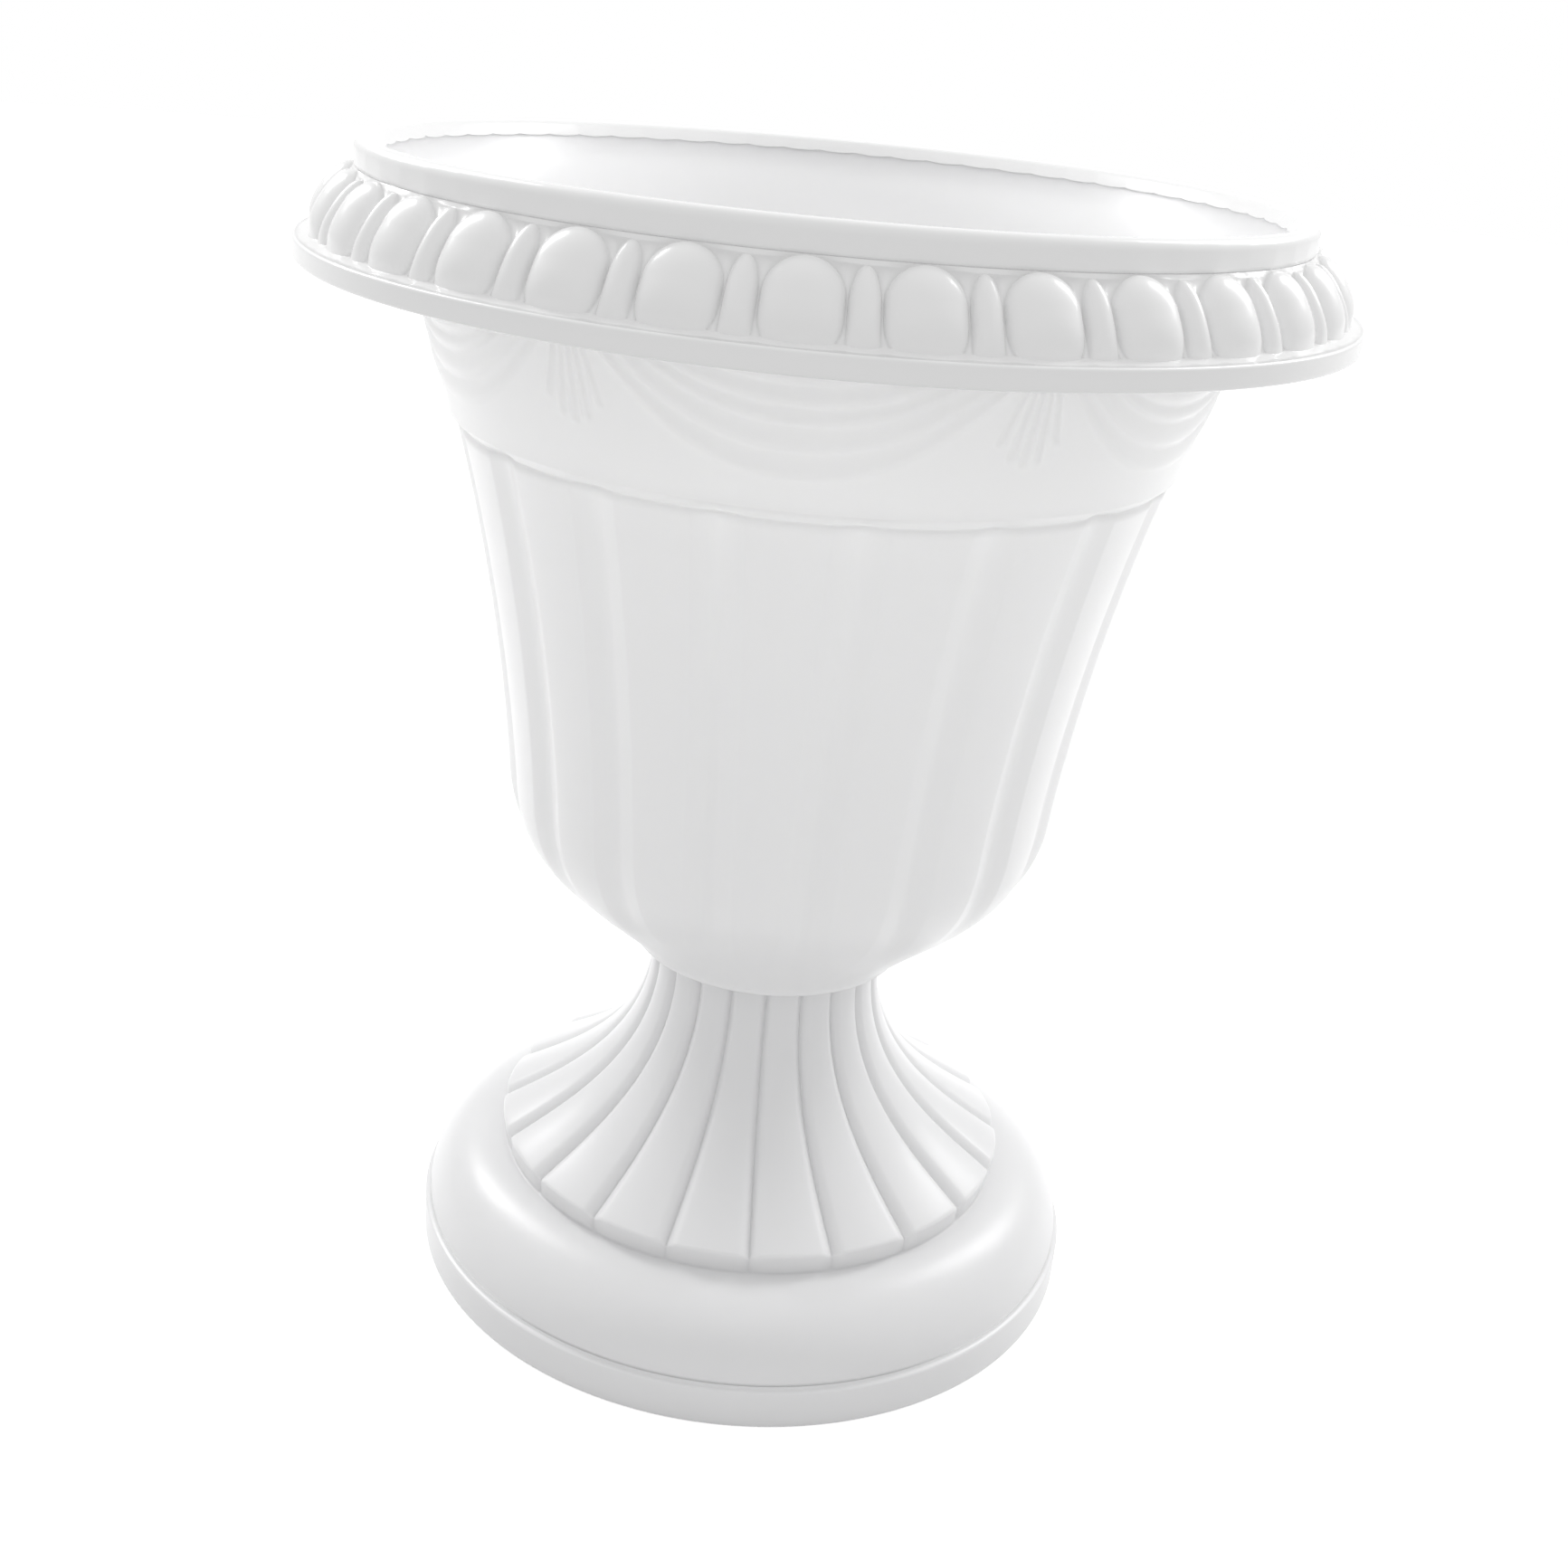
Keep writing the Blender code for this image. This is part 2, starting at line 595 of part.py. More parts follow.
def make_wing_nut(top, material):
    """Wing nut under the plate: a tapered hub and two round wings that lean down."""
    tip = top - NUT_HEIGHT
    hub = [(bolt_hole_radius, top), (NUT_BASE_RADIUS, top)]
    hub += [(NUT_TIP_RADIUS, tip), (bolt_hole_radius, tip)]
    nut = solid("wing_nut", plain_rings(HUB_COLUMNS, hub), material, looped=True)
    root_height = top - NUT_HEIGHT / 2
    for side, name in ((-1, "wing_left"), (1, "wing_right")):
        root = (side * (bolt_hole_radius + WING_ROUND), root_height)
        end = (side * WING_REACH, root_height - WING_DROP)
        wing = round_plate(name, root, end, WING_ROUND, WING_THICKNESS, material)
        combine(nut, helper(wing), "UNION")
    return nut


def make_plug(number, place, material):
    """Push-in drain plug with its origin on its own axis, at the floor's top."""
    tip = -(FLOOR_THICKNESS + SEAT_GAP + PLUG_REACH)
    head_top = SEAT_GAP + PLUG_HEAD_THICKNESS
    outline = [(PLUG_RADIUS - PLUG_TIP, tip), (PLUG_RADIUS, tip + PLUG_TIP), (PLUG_RADIUS, SEAT_GAP)]
    outline += [(PLUG_HEAD_RADIUS, SEAT_GAP), (PLUG_HEAD_RADIUS, head_top)]
    name = f"drain_plug_{number}"
    plug = solid(name, plain_rings(HUB_COLUMNS, outline), material, looped=False)
    tab_foot = (0.0, head_top)
    tab_end = (0.0, head_top + PLUG_TAB_RISE)
    tab = round_plate(f"{name}_tab", tab_foot, tab_end, PLUG_TAB_ROUND, PLUG_TAB_THICKNESS, material)
    combine(plug, helper(tab), "UNION")
    for thing in (plug, tab):
        thing.location = (place[0], place[1], floor_top)
    return plug


def main():
    clear_scene()
    make_pedestal(finish("pedestal_white_plastic", (0.84, 0.84, 0.84), 0.32))
    make_bowl(finish("bowl_white_plastic", (0.86, 0.86, 0.86), 0.32))

    seal_low = floor_top + SEAT_GAP
    head_washer_low = seal_low + SEAL_THICKNESS + SEAT_GAP
    head_under = head_washer_low + WASHER_THICKNESS + SEAT_GAP
    nut_washer_low = plate_under - SEAT_GAP - WASHER_THICKNESS
    rubber = finish("seal_rubber", (0.03, 0.03, 0.03), 0.7)
    make_washer("seal_washer", SEAL_RADIUS, seal_low, SEAL_THICKNESS, rubber)
    for name, low in (("head_washer", head_washer_low), ("nut_washer", nut_washer_low)):
        make_washer(name, WASHER_RADIUS, low, WASHER_THICKNESS, finish(f"{name}_zinc", ZINC, 0.35, 1.0))
    make_bolt(head_under, finish("bolt_zinc", ZINC, 0.3, 1.0))
    make_wing_nut(nut_washer_low - SEAT_GAP, finish("wing_nut_zinc", ZINC, 0.4, 1.0))
    for number, place in enumerate(plug_places(), start=1):
        make_plug(number, place, finish(f"plug_rubber_{number}", (0.7, 0.7, 0.69), 0.6))


main()
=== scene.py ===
"""Surfaces, finishes, lights and camera of the two-piece urn planter.

Laid out as an add-on and run as a script. Lengths are metres in the frame's own axes: +Z up, -Y the
front. Angles run round the axis from the front towards +X.
"""

import json
import math
from functools import partial

import bpy
import numpy as np
from bpy.props import FloatProperty, FloatVectorProperty, IntProperty, PointerProperty
from mathutils import Matrix, Vector


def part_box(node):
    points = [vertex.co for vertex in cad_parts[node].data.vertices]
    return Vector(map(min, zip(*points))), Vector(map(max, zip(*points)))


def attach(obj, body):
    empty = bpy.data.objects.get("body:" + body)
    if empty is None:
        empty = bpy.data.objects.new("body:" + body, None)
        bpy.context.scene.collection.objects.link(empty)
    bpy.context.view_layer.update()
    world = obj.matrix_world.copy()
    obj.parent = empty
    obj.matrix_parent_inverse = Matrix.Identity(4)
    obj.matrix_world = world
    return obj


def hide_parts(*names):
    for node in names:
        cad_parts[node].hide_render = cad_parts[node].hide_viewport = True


bl_info = {
    "name": "Urn planter",
    "version": (1, 0, 0),
    "blender": (4, 5, 0),
    "location": "View3D > Sidebar > Planter",
    "description": "Builds the finished surfaces of a two-piece urn planter round its solid model",
    "category": "Object",
}

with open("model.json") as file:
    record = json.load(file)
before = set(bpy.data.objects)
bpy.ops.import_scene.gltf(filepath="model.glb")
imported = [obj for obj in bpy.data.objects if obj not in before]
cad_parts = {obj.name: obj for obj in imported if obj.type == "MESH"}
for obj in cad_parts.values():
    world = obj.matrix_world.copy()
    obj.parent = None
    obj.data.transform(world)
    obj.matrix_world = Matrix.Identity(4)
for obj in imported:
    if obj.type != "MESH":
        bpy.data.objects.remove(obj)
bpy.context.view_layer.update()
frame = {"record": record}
bowl_low, bowl_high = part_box("bowl")
base_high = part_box("pedestal")[1]
HOME = "planter"

# Columns round plain pieces, drilled holes, plugs and the floor
RING_COLUMNS = 96
HOLE_COLUMNS = 48
PLUG_COLUMNS = 72
FLOOR_COLUMNS = 64
# Drills run this far past a piece, and edges sharper than the angle stay sharp
DRILL_PAST = 0.01
SHARP_ANGLE = math.radians(35)
# Room between two pieces of one moulding, rounding of hidden edges, and draft of upright faces
SEAM = 0.00005
HIDDEN_ROUND = 0.0003
DRAFT = 0.0001


def length(default, description):
    """A length property in metres."""
    return partial(FloatProperty, default=default, description=description, unit="LENGTH", precision=5)


def share(default, description):
    """A share from 0 to 1."""
    return partial(FloatProperty, default=default, description=description, min=0.0, max=1.0)


def angle(degrees, description):
    """An angle property, its default given in degrees."""
    return partial(FloatProperty, default=math.radians(degrees), description=description, subtype="ANGLE")


def number(default, description):
    """A plain number from 0 up."""
    return partial(FloatProperty, default=default, description=description, min=0.0)


def copies(default, description):
    """A count of copies, two or more."""
    return partial(IntProperty, default=default, description=description, min=2)


def colour(default, description):
    """A colour property."""
    return partial(FloatVectorProperty, default=default, description=description, subtype="COLOR",
                   min=0.0, max=1.0, size=3)


def named(group):
    """Give each property of a group a name made from its key, such as Wall height for wall_height."""
    group.__annotations__ = {key: make(name=key.replace("_", " ").capitalize())
                             for key, make in group.__annotations__.items()}
    return group


@named
class BowlSizes(bpy.types.PropertyGroup):
    """Sizes of the bowl's floor, belly and panelled side."""

    turn: angle(-2.2, "Angle on which a panel, an egg and a swag are centred")
    wall: length(0.0026, "Wall thickness")
    floor_thickness: length(0.0030, "Floor thickness")
    floor_disc: length(0.0300, "Radius of the drilled disc in the floor's middle")
    recess_radius: length(0.0275, "Radius of the recess under the floor")
    recess_depth: length(0.0022, "Depth of the recess under the floor")
    foot_radius: length(0.0385, "Radius of the underside's edge")
    foot_round: length(0.0015, "Rounding of the underside's edge")
    foot_run: length(0.0192, "How far the underside sweeps out and up")
    belly_radius: length(0.0744, "Radius where the side straightens")
    belly_height: length(0.0537, "Height of that line above the underside")
    belly_run: length(0.0290, "How far the side runs down before it turns under")
    belly_lean: length(0.0017, "How far the side leans in along that run")
    side_top_radius: length(0.0902, "Radius of the side just under the ledge")
    side_straightness: share(0.52, "1 is a straight side, 0 a parabola")
    panels: copies(18, "Panels round the side")
    panel_crown: length(0.0006, "How far a panel's middle stands proud")
    valley_depth: length(0.0017, "Depth of the valleys between the panels")
    valley_width: length(0.0062, "From a valley's middle to its shoulder")
    valley_foot: share(0.25, "Share of the valleys' depth left at the foot")
    valley_inside: length(0.0021, "How far the valleys show on the inside of the wall")


@named
class FriezeSizes(bpy.types.PropertyGroup):
    """Sizes of the frieze with its swags and tassels."""

    ledge_overhang: length(0.0026, "How far the frieze stands out over the side")
    ledge_drop: length(0.0024, "Height of the ledge's slope")
    ledge_round: length(0.0007, "Rounding of the frieze's lower edge")
    crease: length(0.0006, "Depth of the fine crease under the ledge")
    height: length(0.0352, "From the ledge to the rim's lower edge")
    top_radius: length(0.1020, "Radius behind the rim's lower edge")
    swags: copies(6, "Swags round the frieze")
    fold_height: length(0.0007, "How far the folds stand proud")
    fold_reach: angle(20.0, "Angle from a swag's middle at which the rises are given")
    swag_end: angle(27.0, "Angle from a swag's middle at which its folds end")
    tassel_strands: copies(5, "Strands of a tassel")
    tassel_top: length(0.0330, "Height of the strands' upper ends above the ledge")
    tassel_foot: length(0.0122, "Height of the middle strand's lower end above the ledge")
    tassel_arch: length(0.0012, "Rise of the ends, times the square of a strand's number")
    strand_top: angle(0.85, "Spacing of the strands at the top")
    strand_foot: angle(2.1, "Spacing of the strands at their lower ends")
    strand_width: length(0.0012, "Half the width of a strand at its lower end")
    strand_height: length(0.0006, "How far the strands stand proud")


@named
class RimSizes(bpy.types.PropertyGroup):
    """Sizes of the lip, the egg-and-dart band and the flange."""

    drop: length(0.0275, "From the lip's top to the rim's lower edge")
    wall: length(0.0024, "Thickness of the rim's skirt")
    lip_radius: length(0.1157, "Outer radius of the lip")
    lip_thickness: length(0.0050, "Thickness of the rounded lip")
    lip_height: length(0.0066, "Height of the lip's outer face with its round top")
    lip_start: angle(150.0, "Angle round the lip at which the flared wall runs into it")
    mouth_flare: length(0.0036, "How far the wall flares out behind the rim, up to the lip")
    mouth_drop: length(0.0185, "The flare starts this far below the top of the lip")
    lip_cove: length(0.0002, "How far the band starts inside the lip's face")
    flange_height: length(0.0050, "Height of the flange's face")
    flange_width: length(0.0049, "From the grooves' feet to the flange's edge")
    flange_slope: length(0.0011, "Fall of the flange's top towards its edge")
    edge_round: length(0.0009, "Rounding of the flange's edges")
    band_hollow: length(0.0003, "How far the band's ground is hollowed between its edges")
    eggs: copies(32, "Eggs round the band")
    egg_crown: length(0.0042, "How far an egg stands over its groove")
    egg_fall: share(0.55, "Share of the crown lost from the round top to the foot")
    egg_start: share(0.02, "Share of the band's height above the eggs")
    egg_width: share(0.69, "Width of an egg as a share of the pitch")
    egg_dome: share(0.49, "Share of the band's height taken by the round top")
    egg_taper: share(0.16, "How much narrower an egg is at its cut foot")
    dart_crown: length(0.0031, "How far a dart's crest stands over the grooves")
    dart_width: share(0.27, "Width of a dart as a share of the pitch")
    dart_start: share(0.07, "Share of the band's height above the darts' points")
    dart_dome: share(0.55, "Share of the band's height taken by a dart's round top")


@named
class PedestalSizes(bpy.types.PropertyGroup):
    """Sizes of the plinth, torus and fluted stem."""

    turn: angle(2.6, "Angle on which a groove lies")
    wall: length(0.0028, "Wall thickness")
    plate: length(0.0030, "Thickness of the top plate")
    spigot_radius: length(0.0271, "Radius of the spigot on the top plate")
    spigot_height: length(0.0022, "Height of the spigot")
    neck_radius: length(0.0316, "Radius of the neck's top")
    neck_run: length(0.0349, "How far the neck runs down before it flares")
    neck_waist: length(0.0017, "How far the neck draws in along that run")
    flare_run: length(0.0150, "How far the flare runs out along the panels' feet")
    flare_rise: length(0.0097, "How far the flare rises along that run")
    panels: copies(20, "Panels round the stem")
    panel_crown: length(0.0007, "How far a panel's middle stands proud")
    panel_overhang: length(0.0008, "How far the panels' ends stand out over their feet")
    panel_step: length(0.0057, "Height of the panels' ends above the torus")
    end_round: length(0.0012, "Rounding of the panels' ends")
    groove_depth: length(0.0019, "Depth of the grooves between the panels")
    groove_neck: share(0.55, "Share of the grooves' depth at the neck")
    groove_width: length(0.0022, "From a groove's middle to its shoulder at the neck")
    groove_spread: length(0.0014, "How much wider the grooves are at the panels' ends")
    torus_reach: length(0.0215, "From the panels' feet to the torus' widest line")
    torus_height: length(0.0198, "Height of the torus")
    plinth_height: length(0.0122, "Height of the plinth")
    plinth_ledge: length(0.0014, "How far the plinth stands out past the torus")
    plinth_round: length(0.0020, "Rounding of the plinth's lower edge")


@named
class FastenerSizes(bpy.types.PropertyGroup):
    """Sizes of the bolt, its washers, the wing nut and the drain plugs."""

    bolt_radius: length(0.0040, "Radius of the bolt's thread")
    head_flats: length(0.0130, "Width of the bolt's head across its flats")
    thread_pitch: length(0.00125, "Pitch of the thread")
    thread_depth: length(0.0006, "Depth of the thread")
    clearance: length(0.0003, "Room round a shank in its hole")
    plate_margin: length(0.0012, "Room round the bolt in the pedestal's plate")
    washer_round: length(0.0003, "Rounding of a washer's edges")
    nut_round: length(0.0008, "Rounding of the wing nut's edges")
    wing_thickness: length(0.0028, "Thickness of the nut's wings")
    plug_radius: length(0.0034, "Radius of a drain plug's shank")
    plug_round: length(0.00045, "Rounding of a plug's edges")
    tab_half: length(0.0034, "Half the width of a plug's pull tab")
    tab_thickness: length(0.0022, "Thickness of a plug's pull tab")
    drain_margin: length(0.0014, "How much wider the plate's drain holes are than the plugs")


@named
class Finishes(bpy.types.PropertyGroup):
    """Colours and roughnesses of the planter's materials. Bowl and pedestal are one white plastic: the bowl's
    colour is painted lighter as a painted glow for light through its thin wall, and the pedestal's is painted
    darker as painted shade.
    """

    # Painted glow: the bowl's plastic is painted lighter than the pedestal's, for light that shines through
    # its thin wall
    bowl: colour((0.92, 0.92, 0.923), "Colour of the bowl's plastic")
    # Painted shade: the same plastic is painted darker on the pedestal, for the shade it stands in under the
    # bowl
    pedestal: colour((0.82, 0.82, 0.825), "Colour of the pedestal's plastic")
    zinc: colour((0.62, 0.62, 0.60), "Colour of the zinc plate")
    seal: colour((0.03, 0.03, 0.03), "Colour of the seal's rubber")
    plug: colour((0.70, 0.70, 0.69), "Colour of the plugs' rubber")
    gloss: share(0.31, "Roughness of the moulded plastic")
    bowl_glow: share(0.9, "How much light goes through the bowl's thin wall")
    pedestal_glow: share(0.35, "How much light goes into the pedestal's wall")
    glow_depth: length(0.005, "How deep that light goes")


@named
class StageSettings(bpy.types.PropertyGroup):
    """Camera, lamps and floor."""

    lens: number(43.84, "Focal length in mm on a 36 mm frame")
    distance: length(0.4880, "From the planter's axis back to the camera")
    height: length(0.3430, "Height of the camera")
    yaw: angle(0.08, "Turn of the camera to the right")
    pitch: angle(22.36, "Tilt of the camera down")
    roll: angle(5.41, "Roll of the camera")
    floor: colour((0.64, 0.64, 0.64), "Colour of the floor")
    sky: number(0.79, "Strength of the even light from all round")
    side: number(4.8, "Power of the two side lamps in watts")
    top: number(0.3, "Power of the lamp overhead in watts")


def settings(context, *names):
    """The scene's property groups with these names."""
    return [getattr(context.scene, f"planter_{name}") for name in names]


def outline_bezier(start, start_handle, end_handle, end, count):
    """Count points on the cubic with these four corners, as an array of (radius, height)."""
    t = np.linspace(0.0, 1.0, count)[:, None]
    corners = [np.array(corner, float) for corner in (start, start_handle, end_handle, end)]
    weights = ((1 - t) ** 3, 3 * t * (1 - t) ** 2, 3 * t ** 2 * (1 - t), t ** 3)
    return sum(weight * corner for weight, corner in zip(weights, corners))


def outline_arc(centre, reach, rise, first, last, count):
    """Count points on an ellipse about centre, from the first to the last angle in degrees."""
    turn = np.radians(np.linspace(first, last, count))
    return np.stack((centre[0] + reach * np.cos(turn), centre[1] + rise * np.sin(turn)), axis=-1)


def outline_line(start, end, count):
    """Count points on a straight line, both ends included."""
    t = np.linspace(0.0, 1.0, count)[:, None]
    return np.array(start, float) * (1 - t) + np.array(end, float) * t


def rounded(corners, radius, count):
    """A run of straight lines whose inner corners are arcs of the radius, count points each.

    At each corner the arc starts and ends radius * tan(turn / 2) along its two lines, and is drawn
    as the blend start * (1 - t)^2 + 2 * corner * t * (1 - t) + end * t^2, close to a circle.
    """
    corners = [np.array(corner, float) for corner in corners]
    parts = [corners[0][None]]
    for before, corner, after in zip(corners, corners[1:], corners[2:]):
        back = (before - corner) / np.linalg.norm(before - corner)
        on = (after - corner) / np.linalg.norm(after - corner)
        half_turn = (math.pi - math.acos(float(np.clip(back @ on, -1, 1)))) / 2
        reach = radius * math.tan(half_turn)
        t = np.linspace(0.0, 1.0, count)[:, None]
        start = corner + back * reach
        end = corner + on * reach
        parts.append(start * (1 - t) ** 2 + 2 * corner * t * (1 - t) + end * t ** 2)
    parts.append(corners[-1][None])
    return np.concatenate(parts)


def inset(outline, wall):
    """A downward outline moved by the wall to its inside: each point goes square to its tangent."""
    along = np.gradient(outline, axis=0)
    along /= np.linalg.norm(along, axis=1, keepdims=True)
    return outline + wall * np.stack((along[:, 1], -along[:, 0]), axis=-1)


def cut_below(outline, height):
    """The part of a downward outline above a height, ended on that height."""
    edge = np.interp(height, outline[::-1, 1], outline[::-1, 0])
    return np.concatenate((outline[outline[:, 1] > height], [[edge, height]]))


def cut_above(outline, height):
    """The part of a downward outline below a height, started on that height."""
    edge = np.interp(height, outline[::-1, 1], outline[::-1, 0])
    return np.concatenate(([[edge, height]], outline[outline[:, 1] < height]))


def turned(angles, radius, height):
    """Grid of points (r sin a, -r cos a, z) for angles across and radii and heights down."""
    angles, radius, height = np.broadcast_arrays(angles, radius, height)
    return np.stack((radius * np.sin(angles), -radius * np.cos(angles), height), axis=-1)


def swept(angles, outline):
    """An outline turned to each of the angles."""
    return turned(angles, outline[:, :1], outline[:, 1:])


def plain(outline, columns, first=0.0):
    """An outline turned round the axis in even columns."""
    return swept(first + math.tau * np.arange(columns)[None] / columns, outline)


def closed_outline(corners, step, radius, count):
    """A closed outline with rounded corners that starts a step out from its first corner."""
    first = (corners[0][0] + step, corners[0][1])
    return rounded([first, *corners[1:], corners[0], first], radius, count)[:-1]


def marked(repeats, edge_columns, middle_columns, edge_angle, first, crowd=0.0):
    """Column angles for a repeated pattern, close together beside each repeat's edges.

    Each repeat has edge_columns over edge_angle at either side and middle_columns between them.
    edge_angle may be a column of values, one for each row, and the result then has those rows.
    With t the even share of the way, columns crowd towards edge_angle as (1 + c) t - c t^2, and
    from both sides as t - c sin(2 pi t) / (2 pi).
    """
    pitch = math.tau / repeats
    edge_angle = np.asarray(edge_angle, float).reshape(-1, 1)
    t = np.arange(edge_columns) / edge_columns
    left = edge_angle * ((1 + crowd) * t - crowd * t ** 2)
    right = pitch - edge_angle * ((1 + crowd) * (1 - t) - crowd * (1 - t) ** 2)
    t = np.arange(middle_columns) / middle_columns
    middle = edge_angle + (pitch - 2 * edge_angle) * (t - crowd * np.sin(math.tau * t) / math.tau)
    one = np.concatenate((left, middle, right), axis=1)
    starts = first + pitch * np.arange(repeats)
    return (starts[None, :, None] + one[:, None, :]).reshape(len(one), -1)


def strip(first, second, first_base, second_base):
    """Faces between two closed rows whose counts are equal or differ by a factor of two."""
    if first < second:
        return [face[::-1] for face in strip(second, first, second_base, first_base)]
    k = np.arange(second)
    after = (k + 1) % second
    if first == second:
        quads = np.stack((first_base + k, first_base + after, second_base + after, second_base + k), axis=-1)
        return quads.tolist()
    even = first_base + 2 * k
    odd = even + 1
    next_even = first_base + 2 * after
    left = np.stack((even, odd, second_base + k), axis=-1)
    quad = np.stack((odd, second_base + after, second_base + k), axis=-1)
    right = np.stack((odd, next_even, second_base + after), axis=-1)
    return left.tolist() + quad.tolist() + right.tolist()


def ringed_mesh(name, grids, looped, material, body, slot, *nodes):
    """A closed solid through grids of rings, one under another, looped or capped at both ends.

    Each grid is rows by columns by 3. Neighbouring grids have equal column counts or one has
    twice the other's.
    """
    faces = []
    base = 0
    starts = []
    for grid in grids:
        rows, columns = grid.shape[:2]
        for row in range(rows - 1):
            faces += strip(columns, columns, base + row * columns, base + (row + 1) * columns)
        starts.append((base, base + (rows - 1) * columns, columns))
        base += rows * columns
    for upper, lower in zip(starts, starts[1:]):
        faces += strip(upper[2], lower[2], upper[1], lower[0])
    if looped:
        faces += strip(starts[-1][2], starts[0][2], starts[-1][1], starts[0][0])
    else:
        faces.append(list(range(starts[0][2]))[::-1])
        faces.append([starts[-1][1] + k for k in range(starts[-1][2])])
    points = np.concatenate([grid.reshape(-1, 3) for grid in grids])
    return solid_object(name, points, faces, material, body, slot, *nodes)


def linked(name, data):
    """A new object in the scene with this mesh, lamp or camera."""
    made = bpy.data.objects.new(name, data)
    bpy.context.scene.collection.objects.link(made)
    return made


def solid_object(name, points, faces, material, body, slot, *nodes):
    """A smooth closed mesh with its faces outward, riding on a body and standing for CAD nodes."""
    mesh = bpy.data.meshes.new(name)
    mesh.from_pydata(points.tolist(), [], faces)
    mesh.validate()
    made = linked(name, mesh)
    if signed_volume(mesh) < 0:
        mesh.flip_normals()
    mesh.shade_smooth()
    mesh.materials.append(material)
    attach(made, body)
    if nodes:
        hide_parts(*nodes)
    return made


def signed_volume(mesh):
    """Six times the volume inside a mesh: the sum of a . (b x c) over its triangles."""
    mesh.calc_loop_triangles()
    corners = np.zeros(len(mesh.loop_triangles) * 3, np.int32)
    mesh.loop_triangles.foreach_get("vertices", corners)
    places = np.zeros(len(mesh.vertices) * 3, np.float32)
    mesh.vertices.foreach_get("co", places)
    a, b, c = np.swapaxes(places.reshape(-1, 3)[corners.reshape(-1, 3)].astype(float), 0, 1)
    return float(np.einsum("ij,ij->i", a, np.cross(b, c)).sum())


def drill(made, radius, low, high):
    """Cut the drain holes through a piece and keep the result as its plain mesh."""
    high = high + DRILL_PAST
    cutters = []
    for x, y in plug_places():
        bpy.ops.mesh.primitive_cylinder_add(vertices=HOLE_COLUMNS, radius=radius, depth=high - low,
                                            location=(x, y, (low + high) / 2))
        cutters.append(bpy.context.object)
        cut = made.modifiers.new("hole", "BOOLEAN")
        cut.object = cutters[-1]
    bpy.context.view_layer.update()
    graph = bpy.context.evaluated_depsgraph_get()
    cut_mesh = bpy.data.meshes.new_from_object(made.evaluated_get(graph))
    made.modifiers.clear()
    made.data = cut_mesh
    for cutter in cutters:
        bpy.data.objects.remove(cutter, do_unlink=True)
    cut_mesh.set_sharp_from_angle(angle=SHARP_ANGLE)


def node(tree, kind, place, **inputs):
    """Add a shader node and set its plain inputs by name."""
    made = tree.nodes.new(kind)
    made.location = place
    return filled(made, inputs)


def filled(made, inputs):
    """A node with its plain inputs set by name, an underscore standing for each space."""
    for key, value in inputs.items():
        made.inputs[key.replace("_", " ")].default_value = value
    return made


def shaded(name, **inputs):
    """A new material, its node tree and its shader with plain inputs set."""
    material = bpy.data.materials.new(name)
    material.use_nodes = True
    shader = material.node_tree.nodes["Principled BSDF"]
    return material, material.node_tree, filled(shader, inputs)


def noises(tree, *kinds):
    """Noise over the object's own space, one output for each (scale, detail, roughness)."""
    place = node(tree, "ShaderNodeTexCoord", (-1100, 0))
    outputs = []
    for row, (scale, detail, rough) in enumerate(kinds):
        texture = node(tree, "ShaderNodeTexNoise", (-900, 250 - 250 * row), Scale=scale, Detail=detail,
                       Roughness=rough)
        tree.links.new(place.outputs["Object"], texture.inputs["Vector"])
        outputs.append(texture.outputs["Fac"])
    return outputs


def tinted(tree, shader, texture, tint, dark, light):
    """Let a texture run the base colour from a dark to a light share of the tint."""
    shade = node(tree, "ShaderNodeMix", (-500, 250))
    shade.data_type = "RGBA"
    for socket, share_of_tint in ((6, dark), (7, light)):
        colours = [min(1.0, share_of_tint * value) for value in tint]
        shade.inputs[socket].default_value = (*colours, 1.0)
    tree.links.new(texture, shade.inputs[0])
    tree.links.new(shade.outputs[2], shader.inputs["Base Color"])


def glossed(tree, shader, texture, **ends):
    """Let a texture run the roughness between two ends."""
    sheen = node(tree, "ShaderNodeMapRange", (-500, 50), **ends)
    tree.links.new(texture, sheen.inputs["Value"])
    tree.links.new(sheen.outputs["Result"], shader.inputs["Roughness"])


def bumped(tree, shader, *layers):
    """Lay bumps over one another, from the broadest: (texture, strength, distance) each."""
    target = shader.inputs["Normal"]
    for row, (texture, strength, distance) in enumerate(reversed(layers)):
        bump = node(tree, "ShaderNodeBump", (-250 - 200 * row, -200), Strength=strength, Distance=distance)
        tree.links.new(texture, bump.inputs["Height"])
        tree.links.new(bump.outputs["Normal"], target)
        target = bump.inputs["Normal"]


def moulded_plastic(name, tint, glow, finishes):
    """Semi-gloss moulded plastic with a grain, a ripple and flow marks in its colour and sheen."""
    material, tree, shader = shaded(name, IOR=1.49, Subsurface_Weight=glow,
                                    Subsurface_Radius=(1.0, 1.0, 0.97),
                                    Subsurface_Scale=finishes.glow_depth)
    flow, grain, ripple = noises(tree, (14.0, 3.0, 0.55), (1600.0, 2.0, 0.5), (95.0, 2.0, 0.5))
    tinted(tree, shader, flow, tint, 0.975, 1.0)
    glossed(tree, shader, flow, From_Min=0.3, From_Max=0.7, To_Min=finishes.gloss - 0.03,
            To_Max=finishes.gloss + 0.05)
    bumped(tree, shader, (ripple, 0.25, 0.00025), (grain, 0.10, 0.00006))
    return material


